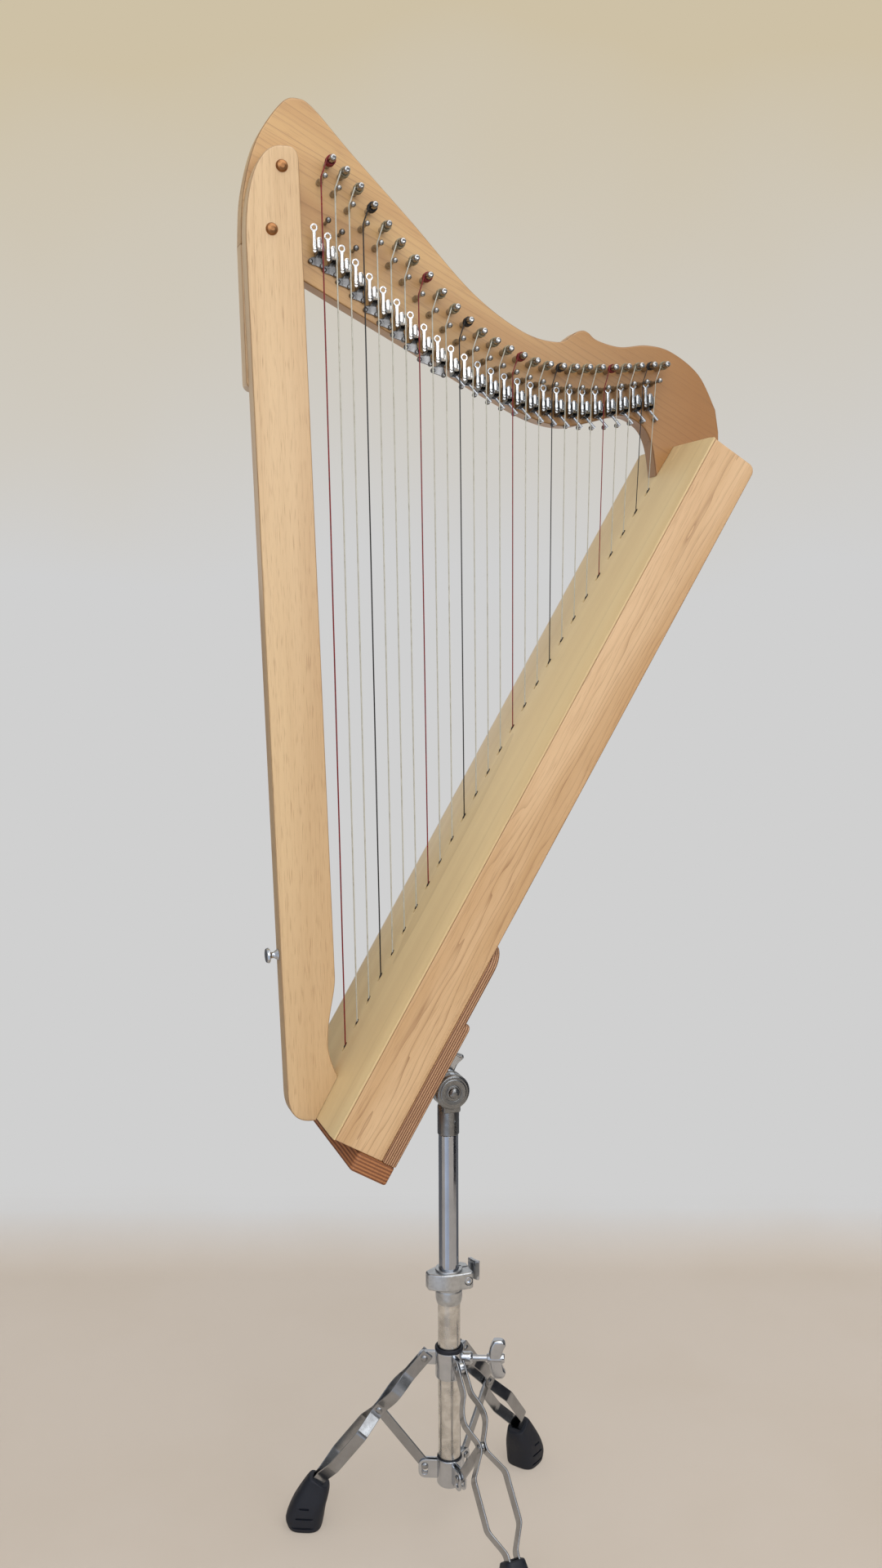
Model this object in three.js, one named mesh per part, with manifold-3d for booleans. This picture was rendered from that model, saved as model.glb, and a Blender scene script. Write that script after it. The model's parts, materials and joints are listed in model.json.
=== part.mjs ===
// A lever harp of 26 strings on a tripod stand. Millimetres, +Z up, lever side towards -Y.
import * as THREE from "three";
import { mergeVertices } from "three/addons/utils/BufferGeometryUtils.js";
import Module from "manifold-3d";

const wasm = await Module();
wasm.setup();

// Clearances
const seat_gap = 0.3;
const cut_overrun = 2;

// Soundbox: a long box whose axis leans back from the strings
const box_length = 744;
const box_width = 156;
const box_depth = 54.6;
const board_thickness = 3;
const board_belly = 8;
const board_rows = 6;
const board_columns = 4;
const side_thickness = 9;
const back_thickness = 4;
const end_thickness = 12;
const side_corner_radius = 8;
const rib_width = 16;
const rib_thickness = 7;
const access_hole_width = 60;
const access_hole_length = 92;
const access_hole_first = 330;
const access_hole_step = 150;
const access_hole_count = 3;

// Plywood under and behind the box
const base_block_thickness = 19;
const base_block_front = 30;
const mount_board_thickness = 9;
const mount_board_length = 225;
const mount_board_corner = 24;
const mount_step_thickness = 6;
const mount_step_length = 147;
const plywood_edge_radius = 4;

// Strings
const string_count = 26;
const first_string_along = 71;
const last_string_along = 692;
const bass_string_diameter = 1.4;
const treble_string_diameter = 0.8;
const string_standoff = 18;
const string_sides = 4;
const string_anchor_depth = 6;
const winding_turns = 1.25;
const winding_steps_per_turn = 8;
const winding_gap = 0.5;
const string_slot_width = 3.2;
const string_slot_length = 9;

// Neck: a board whose lower edge and pin rows follow the strings' tops
const neck_thickness = 19;
const neck_reach = 480;
const neck_rise = 330;
const neck_left = -35;
const neck_end_overhang = 50.74;
const neck_foot_drop = 30.95;

// Pillar, on the lever side of the neck
const pillar_width = 51;
const pillar_thickness = 20;
const pillar_top_rise = 282;
const pillar_lean_deg = 0.55;
const pillar_foot_curve_height = 134;
const pillar_foot_waist = 9;
const top_block_width = 43;
const top_block_rise = 75;
const pillar_screw_radius = 5.5;
const pillar_screw_dome = 3.2;
const pillar_screw_shank_radius = 2.2;
const pillar_screw_length = 30;
const strap_button_height = 159;
const strap_button_radius = 7.5;
const strap_button_length = 12;
const strap_button_stem_radius = 3;
const strap_button_screw_length = 14;

// Tuning pins and bridge pins
const tuning_pin_radius = 3.2;
const tuning_pin_side = 7.5;
const tuning_pin_length = 26;
const tuning_head_length = 6;
const tuning_head_radius = 2.7;
const bridge_pin_foot_radius = 2.8;
const bridge_pin_foot_length = 12;
const bridge_pin_groove_radius = 1.6;
const bridge_pin_ball_radius = 2.6;
const bridge_pin_length = 25;
const guide_pin_count = 3;
const guide_pin_radius = 1.6;
const guide_pin_head_radius = 2.8;
const guide_pin_length = 15;
const guide_pin_side = 5;
const guide_pin_drop = 35;
const pin_sides = 6;
const axle_sides = 5;

// Sharping levers: a bracket on the neck, and a cam with a handle that ends in an eye
const lever_string_clearance = 6.2;
const bracket_plate_thickness = 1.4;
const bracket_below = 6;
const bracket_above = 7;
const bracket_cheek = 0.8;
const bracket_left = 4.9;
const bracket_right = 2.3;
const bracket_screw_radius = 2.4;
const bracket_screw_height = 2;
const bracket_arm_width = 4;
const bracket_bass_arm = [-2.5, -9];
const bracket_treble_arm = [4, -10];
const first_treble_lever = 14;
const axle_radius = 1.3;
const cam_radius = 2.5;
const cam_nose = 5.2;
const cam_nose_radius = 1.2;
const handle_width = 2.6;
const handle_thickness = 1.6;
const handle_tail = 3.5;
const handle_eye_rise = 13;
const handle_eye_radius = 2.3;
const handle_eye_hole = 1.1;

// Tilter between the harp and the stand: two discs on one bolt, which a handled nut holds
const harp_lean_deg = -1.3;
const pivot_height = 466;
const pivot_up_box = 77.9;
const pivot_behind_board = 45.3;
const disc_radius = 17.6;
const disc_rim = 2;
const disc_front = -16;
const disc_split = -4;
const disc_back = 8;
const pivot_bolt_radius = 3.7;
const pivot_dome_radius = 5.6;
const pivot_dome_height = 4;
const pivot_washer_radius = 7.4;
const pivot_washer_thickness = 1.2;
const flange_length = 66;
const flange_width = 46;
const flange_thickness = 4;
const flange_screw_radius = 4.5;
const flange_screw_height = 3;
const flange_screw_inset = 9;
const tilter_arm_half = 9;
const handle_nut_radius = 8.5;
const handle_nut_thickness = 10;
const handle_bar_length = 34;
const handle_bar_width = 6;
const handle_bar_angle_deg = 67;
const handle_grip_length = 20;
const handle_grip_width = 7;
const stem_radius = 10.9;
const stem_top_drop = 18;
const stem_bottom_drop = 46;
const stem_plug_length = 20;
const stem_screw_radius = 1.2;
const stem_screw_drop = 31;

// Telescoping tubes and their clamp
const upper_tube_radius = 10;
const upper_tube_wall = 1.2;
const upper_tube_bottom = 130;
const lower_tube_radius = 11.3;
const lower_tube_wall = 1;
const clamp_top = 281;
const clamp_bottom = 262;
const clamp_seat = 270;
const clamp_left = 23;
const clamp_right = 21.5;
const clamp_half_depth = 15;
const clamp_rear_depth = 13;
const clamp_corner = 4;
const clamp_bolt_side = 16;
const clamp_bolt_radius = 2.6;
const clamp_bolt_head_radius = 4.2;
const clamp_bolt_head_depth = 3;
const clamp_slot = 2.4;
const clamp_ring_thickness = 2;
const sleeve_radius = 13.4;
const sleeve_bottom = 250;
const sleeve_taper = 5;
const clamp_lever_barrel_radius = 4.5;
const clamp_lever_barrel_height = 14;
const clamp_lever_wrap = 20;
const clamp_lever_thickness = 3;

// Hubs, legs and braces of the tripod
const hub_top = 199;
const hub_bottom = 167;
const hub_radius = 14;
const hub_ring_overhang = 0.4;
const hub_ring_thickness = 4;
const hub_ear_half = 2.4;
const hub_ear_end = 7;
const low_hub_top = 81;
const low_hub_bottom = 52;
const low_hub_radius = 13;
const low_hub_floor = 3;
const fork_inner = 1.7;
const fork_wall = 2;
const fork_end = 6.5;
const open_pivot_travel = 6.2;
const leg_pivot_radius = 25;
const leg_pivot_height = 186;
const brace_pivot_height = 71;
const arm_length = 74;
const leg_azimuths_deg = { front: -83.5, right: 36.5, left: 156.5 };
const leg_pin_radius = 2.4;
const rivet_head_radius = 3.6;
const rivet_head_height = 1.6;
const leg_strip_width = 12;
const leg_strip_thickness = 1.8;
const leg_upper_bulge = 10.8;
const leg_lower_bulge = 16.3;
const leg_tip_half = 4;
const leg_pocket_start = 168;
const leg_end = 192;
const foot_start = 174;
const foot_front_rise = 10;
const foot_toe_reach = 226;
const foot_toe_rise = 3;
const foot_toe_rounding = 6;
const foot_back_drop = 14;
const foot_heel_reach = 206;
const foot_heel_drop = 32;
const foot_half_width = 18;
const foot_sole_middle = 28;
const foot_groove_count = 3;
const foot_groove_rise = 6;
const foot_groove_step = 10;
const foot_groove_length = 26;
const foot_groove_shortening = 8;
const foot_groove_width = 2;
const foot_groove_depth = 1.5;
const brace_half = 1.4;
const brace_width = 10;
const hub_bolt_azimuth_deg = -21.5;
const hub_boss_radius = 6.5;
const hub_boss_reach = 24;
const hub_bolt_radius = 3;
const hub_bolt_reach = 40;
const wing_span = 40;
const wing_depth = 17;
const wing_thickness = 7;
const wing_waist = 8;
const round_sides = 16;
const small_sides = 8;

const RADIANS = Math.PI / 180;

// The box leans so far that its top meets the neck's end, and the neck, the pillar and its block stand by that
const box_lean = Math.asin((neck_left + neck_reach - neck_end_overhang) / box_length);
const neck_foot_height = box_length * Math.cos(box_lean) - neck_foot_drop;
const pillar_top_height = neck_foot_height + pillar_top_rise;
const top_block_bottom = neck_foot_height + top_block_rise;

// The braces are as long as the legs' upper arms, so the pivots' heights give the legs' angle below level
const leg_angle = Math.asin((leg_pivot_height - brace_pivot_height) / 2 / arm_length);

// Finishes
const materials = {};
function finish(color, roughness, metalness) {
  const key = [color, roughness, metalness].join();
  materials[key] ??= new THREE.MeshStandardMaterial({ color, roughness, metalness });
  return materials[key];
}
const maple = finish(0xd9b485, 0.45, 0);
const neck_wood = finish(0xb98350, 0.42, 0);
const spruce = finish(0xcdb888, 0.5, 0);
const plywood = finish(0xb07a50, 0.55, 0);
const nylon = finish(0xe6e2d6, 0.35, 0);
const nickel = finish(0xb9b7b0, 0.22, 1);
const chrome = finish(0xc8c8c8, 0.12, 1);
const grey_cast = finish(0x8d8b86, 0.4, 1);
const rubber = finish(0x101216, 0.7, 0);

// Solids: joins and cuts
function solid(geometry) {
  const bare = geometry.index ? geometry.toNonIndexed() : geometry.clone();
  bare.deleteAttribute("normal");
  bare.deleteAttribute("uv");
  const merged = mergeVertices(bare, 1e-4);
  return new wasm.Manifold(
    new wasm.Mesh({
      numProp: 3,
      vertProperties: new Float32Array(merged.attributes.position.array),
      triVerts: new Uint32Array(merged.index.array),
    }),
  );
}

function surface(made) {
  const mesh = made.getMesh();
  const geometry = new THREE.BufferGeometry();
  geometry.setAttribute("position", new THREE.BufferAttribute(new Float32Array(mesh.vertProperties), 3));
  geometry.setIndex(new THREE.BufferAttribute(new Uint32Array(mesh.triVerts), 1));
  geometry.computeVertexNormals();
  return geometry;
}

function join(geometries) {
  return surface(geometries.map(solid).reduce((all, one) => all.add(one)));
}

function cut(geometry, tools) {
  const tool = tools.map(solid).reduce((all, one) => all.add(one));
  return surface(solid(geometry).subtract(tool));
}

// Basic forms
function block(x0, x1, y0, y1, z0, z1) {
  const box = new THREE.BoxGeometry(x1 - x0, y1 - y0, z1 - z0);
  return box.translate((x0 + x1) / 2, (y0 + y1) / 2, (z0 + z1) / 2);
}

// A shape drawn with x across and y upwards, standing in the XZ plane between two places along Y
function panel(shape, y0, y1, curveSegments = 6) {
  const made = new THREE.ExtrudeGeometry(shape, { depth: y1 - y0, bevelEnabled: false, curveSegments });
  return made.rotateX(Math.PI / 2).translate(0, y1, 0);
}

// A shape drawn in the XY plane, standing up between two heights
function column(shape, z0, z1, curveSegments = 6) {
  const made = new THREE.ExtrudeGeometry(shape, { depth: z1 - z0, bevelEnabled: false, curveSegments });
  return made.translate(0, 0, z0);
}

function polygon(points) {
  return new THREE.Shape(points.map(([x, y]) => new THREE.Vector2(x, y)));
}

// A turned form: pairs of radius and height about Z, first and last on the axis
function turned(profile, sides) {
  const points = profile.map(([r, z]) => new THREE.Vector2(r, z));
  return new THREE.LatheGeometry(points, sides).rotateX(Math.PI / 2);
}

function ring(outer, inner, z0, z1, sides) {
  return turned([[inner, z0], [outer, z0], [outer, z1], [inner, z1], [inner, z0]], sides);
}

function rod(radius, z0, z1, sides) {
  return turned([[0, z0], [radius, z0], [radius, z1], [0, z1]], sides);
}

// Turns a form made about Z so that its +Z points along the given direction
function along(geometry, x, y, z) {
  const turn = new THREE.Quaternion().setFromUnitVectors(
    new THREE.Vector3(0, 0, 1),
    new THREE.Vector3(x, y, z).normalize(),
  );
  return geometry.applyQuaternion(turn);
}

// The radius of a bore with flat sides that a pin turns in
function boreRadius(pin_radius, sides) {
  return (pin_radius + seat_gap) / Math.cos(Math.PI / sides);
}

function hole(cx, cy, radius) {
  const path = new THREE.Path();
  path.absarc(cx, cy, radius, 0, 2 * Math.PI, true);
  return path;
}

// A closed tube of flat-sided section through the given points
function tube(points, radius, sides) {
  const positions = [];
  const rings = [];
  const tangent = new THREE.Vector3();
  const side = new THREE.Vector3(1, 0, 0);
  points.forEach((point, i) => {
    const before = points[Math.max(i - 1, 0)];
    const after = points[Math.min(i + 1, points.length - 1)];
    tangent.subVectors(after, before).normalize();
    side.addScaledVector(tangent, -side.dot(tangent)).normalize();
    const other = new THREE.Vector3().crossVectors(tangent, side);
    const start = positions.length / 3;
    for (let j = 0; j < sides; j += 1) {
      const angle = (2 * Math.PI * j) / sides;
      const place = point.clone();
      place.addScaledVector(side, radius * Math.cos(angle));
      place.addScaledVector(other, radius * Math.sin(angle));
      positions.push(place.x, place.y, place.z);
    }
    rings.push(start);
  });
  const faces = [];
  for (let i = 0; i + 1 < rings.length; i += 1) {
    for (let j = 0; j < sides; j += 1) {
      const next = (j + 1) % sides;
      const a = rings[i] + j;
      const b = rings[i] + next;
      const c = rings[i + 1] + next;
      const d = rings[i + 1] + j;
      faces.push(a, b, c, a, c, d);
    }
  }
  const last = rings[rings.length - 1];
  for (let j = 1; j + 1 < sides; j += 1) {
    faces.push(rings[0], rings[0] + j + 1, rings[0] + j);
    faces.push(last, last + j, last + j + 1);
  }
  const geometry = new THREE.BufferGeometry();
  geometry.setAttribute("position", new THREE.Float32BufferAttribute(positions, 3));
  geometry.setIndex(faces);
  return geometry;
}

function mesh(name, geometry, material, parent) {
  const made = new THREE.Mesh(geometry, material);
  made.name = name;
  parent.add(made);
  return made;
}

// Frames: the stand's stands on the floor round the tubes' axis; the harp's own frame has its strings along
// +Z and its origin at the foot of the soundboard; the box's frame has +X into the box and +Z up its axis
const part = new THREE.Group();
const stand = new THREE.Group();
const harp = new THREE.Group();
const box = new THREE.Group();
part.add(stand);
stand.add(harp);
harp.add(box);
box.rotation.y = box_lean;
harp.rotation.y = harp_lean_deg * RADIANS;
const mount_back = box_depth + seat_gap + mount_board_thickness + mount_step_thickness;
const pivot_depth = mount_back + pivot_behind_board;
harp.position
  .set(-pivot_depth, 0, -pivot_up_box)
  .applyAxisAngle(new THREE.Vector3(0, 1, 0), box_lean + harp.rotation.y);
harp.position.z += pivot_height;

function boxPoint(depth, y, up) {
  return new THREE.Vector3(depth, y, up).applyAxisAngle(new THREE.Vector3(0, 1, 0), box_lean);
}

// The board's rise towards the strings
function belly(y, up) {
  return board_belly * Math.sin((Math.PI * up) / box_length) * Math.cos((Math.PI * y) / box_width);
}

// A slab that follows the belly in front, flat or bellied behind
function belliedSlab(front, back, backFollows, width, up0, up1, rows = board_rows, columns = board_columns) {
  const positions = [];
  for (const [depth, follows] of [[front, true], [back, backFollows]]) {
    for (let i = 0; i <= rows; i += 1) {
      for (let j = 0; j <= columns; j += 1) {
        const up = up0 + ((up1 - up0) * i) / rows;
        const y = width * (j / columns - 0.5);
        positions.push(depth - (follows ? belly(y, up) : 0), y, up);
      }
    }
  }
  const faces = [];
  const across = columns + 1;
  const layer = (rows + 1) * across;
  const quad = (a, b, c, d) => faces.push(a, b, c, a, c, d);
  for (let i = 0; i < rows; i += 1) {
    for (let j = 0; j < columns; j += 1) {
      const a = i * across + j;
      quad(a, a + across, a + across + 1, a + 1);
      quad(layer + a, layer + a + 1, layer + a + across + 1, layer + a + across);
    }
  }
  for (let i = 0; i < rows; i += 1) {
    const low = i * across;
    const high = low + columns;
    quad(low, layer + low, layer + low + across, low + across);
    quad(high, high + across, layer + high + across, layer + high);
  }
  for (let j = 0; j < columns; j += 1) {
    const top = rows * across + j;
    quad(j, j + 1, layer + j + 1, layer + j);
    quad(top, layer + top, layer + top + 1, top + 1);
  }
  const geometry = new THREE.BufferGeometry();
  geometry.setAttribute("position", new THREE.Float32BufferAttribute(positions, 3));
  geometry.setIndex(faces);
  return geometry;
}

// The whole box with its clearance, which the neck and the pillar are cut back from
function boxEnvelope() {
  const grown = belliedSlab(
    -seat_gap, box_depth + seat_gap, false, box_width, -cut_overrun, box_length + seat_gap,
  );
  return grown.rotateY(box_lean);
}

// Heights of the bridge pins, the tuning pins and the levers' eyes at strings 1, 6, 11, 16, 21 and 26, as
// shares of the neck's rise above its foot
const bridge_height_shares = [0.782, 0.573, 0.373, 0.272, 0.248, 0.275];
const tuning_height_shares = [0.829, 0.624, 0.423, 0.319, 0.307, 0.322];
const eye_drop_shares = [0.142, 0.088, 0.039, 0.022, 0.022, 0.021];

function neckPoint([across, up]) {
  return new THREE.Vector2(neck_left + across * neck_reach, neck_foot_height + up * neck_rise);
}

function heightRow(shares) {
  return new THREE.SplineCurve(shares.map((share, i) => new THREE.Vector2(i, share * neck_rise)));
}
const bridge_row = heightRow(bridge_height_shares);
const tuning_row = heightRow(tuning_height_shares);
const eye_row = heightRow(eye_drop_shares);

// Where each string, its pins and its lever are
function stringPlan(number) {
  const t = (number - 1) / (string_count - 1);
  const diameter = THREE.MathUtils.lerp(bass_string_diameter, treble_string_diameter, t);
  const up = THREE.MathUtils.lerp(first_string_along, last_string_along, t);
  const foot = boxPoint(-belly(0, up), 0, up);
  const groove = bridge_pin_groove_radius + diameter / 2 + seat_gap;
  const bridge = new THREE.Vector2(foot.x + groove, neck_foot_height + bridge_row.getPoint(t).y);
  const tuning = new THREE.Vector2(
    bridge.x + tuning_pin_side, neck_foot_height + tuning_row.getPoint(t).y,
  );
  const top = new THREE.Vector3(foot.x, -string_standoff, bridge.y);
  const lever_height = bridge.y - eye_row.getPoint(t).y - handle_eye_rise;
  const share = (lever_height - foot.z) / (top.z - foot.z);
  const at = new THREE.Vector3().lerpVectors(foot, top, share);
  return { number, diameter, up, bridge, tuning, foot, top, pivot: at.setY(at.y + lever_string_clearance) };
}
const plans = Array.from({ length: string_count }, (_, i) => stringPlan(i + 1));

function twoDigits(number) {
  return String(number).padStart(2, "0");
}

// Neck
function neckOutline() {
  const upper_shares = [
    [0.008, 0.745], [0.036, 0.882], [0.085, 0.982], [0.118, 1], [0.15, 0.974], [0.22, 0.866],
    [0.335, 0.697], [0.456, 0.515], [0.56, 0.414], [0.634, 0.388], [0.666, 0.408],
  ];
  const bump_shares = [[0.678, 0.419], [0.693, 0.424], [0.705, 0.417]];
  const treble_shares = [
    [0.724, 0.397], [0.774, 0.381], [0.835, 0.389], [0.891, 0.372], [0.954, 0.308], [0.993, 0.206],
  ];
  const arch_shares = [
    [0.852, 0.018], [0.842, 0.103], [0.82, 0.155], [0.776, 0.182], [0.716, 0.165], [0.65, 0.147],
    [0.575, 0.169], [0.476, 0.239], [0.421, 0.281], [0.334, 0.352],
  ];
  const corner = neckPoint([0, 0.612]);
  const outline = new THREE.Shape();
  outline.moveTo(corner.x, corner.y);
  outline.splineThru(upper_shares.map(neckPoint));
  outline.splineThru(bump_shares.map(neckPoint));
  outline.splineThru(treble_shares.map(neckPoint));
  outline.lineTo(neckPoint([1, 0.14]).x, neckPoint([1, 0.14]).y);
  outline.lineTo(neckPoint([1, 0]).x, neckPoint([1, -0.02]).y);
  outline.lineTo(neckPoint([0.852, 0]).x, neckPoint([0, -0.02]).y);
  outline.splineThru(arch_shares.map(neckPoint));
  outline.closePath();
  return outline;
}

function tuningPin(plan) {
  const profile = [
    [0, -cut_overrun], [tuning_pin_radius, -cut_overrun],
    [tuning_pin_radius, tuning_pin_length - tuning_head_length],
    [tuning_head_radius, tuning_pin_length],
    [0, tuning_pin_length],
  ];
  return along(turned(profile, axle_sides), 0, -1, 0).translate(plan.tuning.x, 0, plan.tuning.y);
}

function bridgePin(plan) {
  const ball = bridge_pin_ball_radius;
  const profile = [
    [0, -cut_overrun], [bridge_pin_foot_radius, -cut_overrun],
    [bridge_pin_foot_radius, bridge_pin_foot_length],
    [bridge_pin_groove_radius, string_standoff],
    [ball, bridge_pin_length - ball], [ball / 2, bridge_pin_length], [0, bridge_pin_length],
  ];
  return along(turned(profile, axle_sides), 0, -1, 0).translate(plan.bridge.x, 0, plan.bridge.y);
}

function guidePin(plan) {
  const profile = [
    [0, -cut_overrun], [guide_pin_radius, -cut_overrun],
    [guide_pin_radius, guide_pin_length - guide_pin_head_radius],
    [guide_pin_head_radius, guide_pin_length - guide_pin_head_radius],
    [guide_pin_head_radius / 2, guide_pin_length], [0, guide_pin_length],
  ];
  const place = plan.top.x + guide_pin_side;
  return along(turned(profile, pin_sides), 0, -1, 0).translate(place, 0, plan.bridge.y - guide_pin_drop);
}

// The bracket: a channel whose two cheeks carry the axle, and an arm down to its screw
function leverBracket(plan) {
  const { x, y, z } = plan.pivot;
  const reach = y - cam_radius;
  const treble = plan.number >= first_treble_lever;
  const [arm_x, arm_z] = treble ? bracket_treble_arm : bracket_bass_arm;
  const channel = column(polygon([
    [x - bracket_left, cut_overrun], [x - bracket_left, reach],
    [x - bracket_left + bracket_cheek, reach], [x - bracket_left + bracket_cheek, -bracket_plate_thickness],
    [x + bracket_right - bracket_cheek, -bracket_plate_thickness], [x + bracket_right - bracket_cheek, reach],
    [x + bracket_right, reach], [x + bracket_right, cut_overrun],
  ]), z - bracket_below, z + bracket_above);
  const arm = panel(polygon([
    [x - bracket_arm_width / 2, z], [x + arm_x - bracket_arm_width / 2, z + arm_z],
    [x + arm_x + bracket_arm_width / 2, z + arm_z], [x + bracket_arm_width / 2, z],
  ]), -bracket_plate_thickness, cut_overrun);
  const screw = along(
    rod(bracket_screw_radius, -cut_overrun, bracket_plate_thickness + bracket_screw_height, axle_sides), 0, -1, 0,
  );
  return [channel, arm, screw.translate(x + arm_x, 0, z + arm_z)];
}

function axleBore(plan) {
  const radius = boreRadius(axle_radius, axle_sides);
  const bore = rod(radius, -bracket_left - cut_overrun, bracket_right - bracket_cheek, axle_sides);
  return along(bore, 1, 0, 0).translate(plan.pivot.x, plan.pivot.y, plan.pivot.z);
}

const pillar_screw_shares = [[0.073, 0.801], [0.05, 0.637]];
const pillar_screw_places = pillar_screw_shares.map(neckPoint);

function screwBore(place) {
  const bore = rod(pillar_screw_shank_radius + seat_gap, -pillar_screw_length, pillar_thickness + cut_overrun, small_sides);
  return along(bore, 0, -1, 0).translate(place.x, 0, place.y);
}

function neck() {
  const board = panel(neckOutline(), 0, neck_thickness, 3);
  const bare = cut(board, [boxEnvelope(), ...pillar_screw_places.map(screwBore)]);
  const pieces = [bare];
  for (const plan of plans) {
    pieces.push(tuningPin(plan), bridgePin(plan), ...leverBracket(plan));
    if (plan.number <= guide_pin_count) pieces.push(guidePin(plan));
  }
  const joined = join(pieces);
  const bores = plans.map(axleBore);
  return cut(joined, bores);
}
mesh("neck", neck(), neck_wood, harp);

// Levers: the axle, the cam between the cheeks, and the handle outside the left cheek
function lever(plan) {
  const left_inner = -bracket_left + bracket_cheek + seat_gap;
  const right_inner = bracket_right - bracket_cheek - seat_gap;
  const handle_right = -bracket_left - seat_gap;
  const handle_middle = handle_right - handle_width / 2;
  const axle = along(rod(axle_radius, handle_middle, right_inner, axle_sides), 1, 0, 0);
  const camShape = polygon([
    [-cam_radius, 0], [-cam_radius / 2, -cam_radius], [cam_radius / 2, -cam_radius],
    [cam_radius, 0], [cam_nose_radius, cam_nose], [-cam_nose_radius, cam_nose],
  ]);
  const cam = new THREE.ExtrudeGeometry(camShape, { depth: right_inner - left_inner, bevelEnabled: false });
  cam.applyMatrix4(new THREE.Matrix4().set(0, 0, 1, left_inner, 1, 0, 0, 0, 0, 1, 0, 0, 0, 0, 0, 1));
  const shape = new THREE.Shape();
  shape.moveTo(handle_middle - handle_width / 2, -handle_tail);
  shape.lineTo(handle_middle + handle_width / 2, -handle_tail);
  const spread = Math.acos(handle_width / 2 / handle_eye_radius);
  shape.absarc(handle_middle, handle_eye_rise, handle_eye_radius, -spread, Math.PI + spread, false);
  shape.closePath();
  shape.holes.push(hole(handle_middle, handle_eye_rise, handle_eye_hole));
  const handle = panel(shape, -handle_thickness / 2, handle_thickness / 2, 2);
  return join([axle, cam, handle]);
}
for (const plan of plans) {
  const made = mesh("lever_" + twoDigits(plan.number), lever(plan), nickel, harp);
  made.position.copy(plan.pivot);
}

// Strings, wound on their tuning pins and anchored in the rib under the soundboard
function stringRoute(plan) {
  const { diameter, foot, top, tuning } = plan;
  const rise = new THREE.Vector3().subVectors(top, foot).normalize();
  const anchor = foot.clone().addScaledVector(rise, -(board_thickness + string_anchor_depth) / Math.sin(box_lean));
  const wrap = tuning_pin_radius + diameter / 2 + seat_gap;
  const pitch = diameter + winding_gap;
  const points = [anchor, foot.clone(), top.clone()];
  const steps = Math.round(winding_turns * winding_steps_per_turn);
  for (let i = 0; i <= steps; i += 1) {
    const turn = (2 * Math.PI * i) / winding_steps_per_turn;
    const angle = Math.PI - turn;
    const y = -string_standoff + (pitch * turn) / (2 * Math.PI);
    points.push(new THREE.Vector3(tuning.x + wrap * Math.cos(angle), y, tuning.y + wrap * Math.sin(angle)));
  }
  return points;
}

// The least gap between turns of one winding, measured on its points
function leastWindingGap() {
  let least = Infinity;
  for (const plan of plans) {
    const turns = stringRoute(plan).slice(3);
    turns.forEach((a, i) => {
      for (const b of turns.slice(i + winding_steps_per_turn / 2 + 1)) {
        least = Math.min(least, a.distanceTo(b) - plan.diameter);
      }
    });
  }
  return least;
}
console.log("least gap in the windings", leastWindingGap().toFixed(2), "mm");

function strings() {
  const rib = belliedSlab(
    board_thickness + 2 * seat_gap, board_thickness + 2 * seat_gap + rib_thickness, true, rib_width,
    end_thickness + seat_gap, box_length - end_thickness - seat_gap, board_rows, 1,
  ).rotateY(box_lean);
  const tubes = plans.map((plan) => tube(stringRoute(plan), plan.diameter / 2, string_sides));
  return join([rib, ...tubes]);
}
mesh("strings", strings(), nylon, harp);

// Soundbox
function soundboard() {
  const plate = belliedSlab(0, board_thickness, true, box_width, 0, box_length);
  const slots = plans.map((plan) => {
    const depth = -belly(0, plan.up);
    const middle = plan.up - board_thickness / 2 / Math.tan(box_lean);
    return block(
      depth - cut_overrun, depth + board_thickness + cut_overrun,
      -string_slot_width / 2, string_slot_width / 2,
      middle - string_slot_length / 2, middle + string_slot_length / 2,
    );
  });
  return cut(plate, slots);
}
mesh("soundboard", soundboard(), spruce, box);

function side() {
  const r = side_corner_radius;
  const front = board_thickness + seat_gap;
  const shape = new THREE.Shape();
  shape.moveTo(front, 0);
  shape.lineTo(box_depth, 0);
  shape.lineTo(box_depth, box_length - r);
  shape.absarc(box_depth - r, box_length - r, r, 0, Math.PI / 2, false);
  shape.lineTo(front, box_length);
  shape.closePath();
  return shape;
}
const inner_half = box_width / 2 - side_thickness;
mesh("side_near", panel(side(), -box_width / 2, -inner_half, 4), maple, box);
mesh("side_far", panel(side(), inner_half, box_width / 2, 4), maple, box);

function endBoard(up0, up1) {
  const half = inner_half - seat_gap;
  return block(board_thickness + seat_gap, box_depth, -half, half, up0, up1);
}
mesh("bottom_end", endBoard(0, end_thickness), maple, box);
const topEnd = cut(endBoard(box_length - end_thickness, box_length), [
  block(
    box_depth - side_corner_radius / 2, box_depth + cut_overrun, -box_width, box_width,
    box_length - side_corner_radius / 2, box_length + cut_overrun,
  ),
]);
mesh("top_end", topEnd, maple, box);

function accessHole(up) {
  const half = access_hole_width / 2;
  const straight = access_hole_length / 2 - half;
  const shape = new THREE.Shape();
  shape.absarc(up + straight, 0, half, -Math.PI / 2, Math.PI / 2, false);
  shape.absarc(up - straight, 0, half, Math.PI / 2, (3 * Math.PI) / 2, false);
  shape.closePath();
  const tool = new THREE.ExtrudeGeometry(shape, {
    depth: back_thickness + 2 * cut_overrun, bevelEnabled: false, curveSegments: 5,
  });
  return tool.rotateY(-Math.PI / 2).translate(box_depth + cut_overrun, 0, 0);
}

function backBoard() {
  const half = inner_half - seat_gap;
  const plain = block(
    box_depth - back_thickness, box_depth, -half, half,
    end_thickness + seat_gap, box_length - end_thickness - seat_gap,
  );
  const holes = Array.from(
    { length: access_hole_count },
    (_, i) => accessHole(access_hole_first + i * access_hole_step),
  );
  return cut(plain, holes);
}
mesh("back", backBoard(), maple, box);

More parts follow.
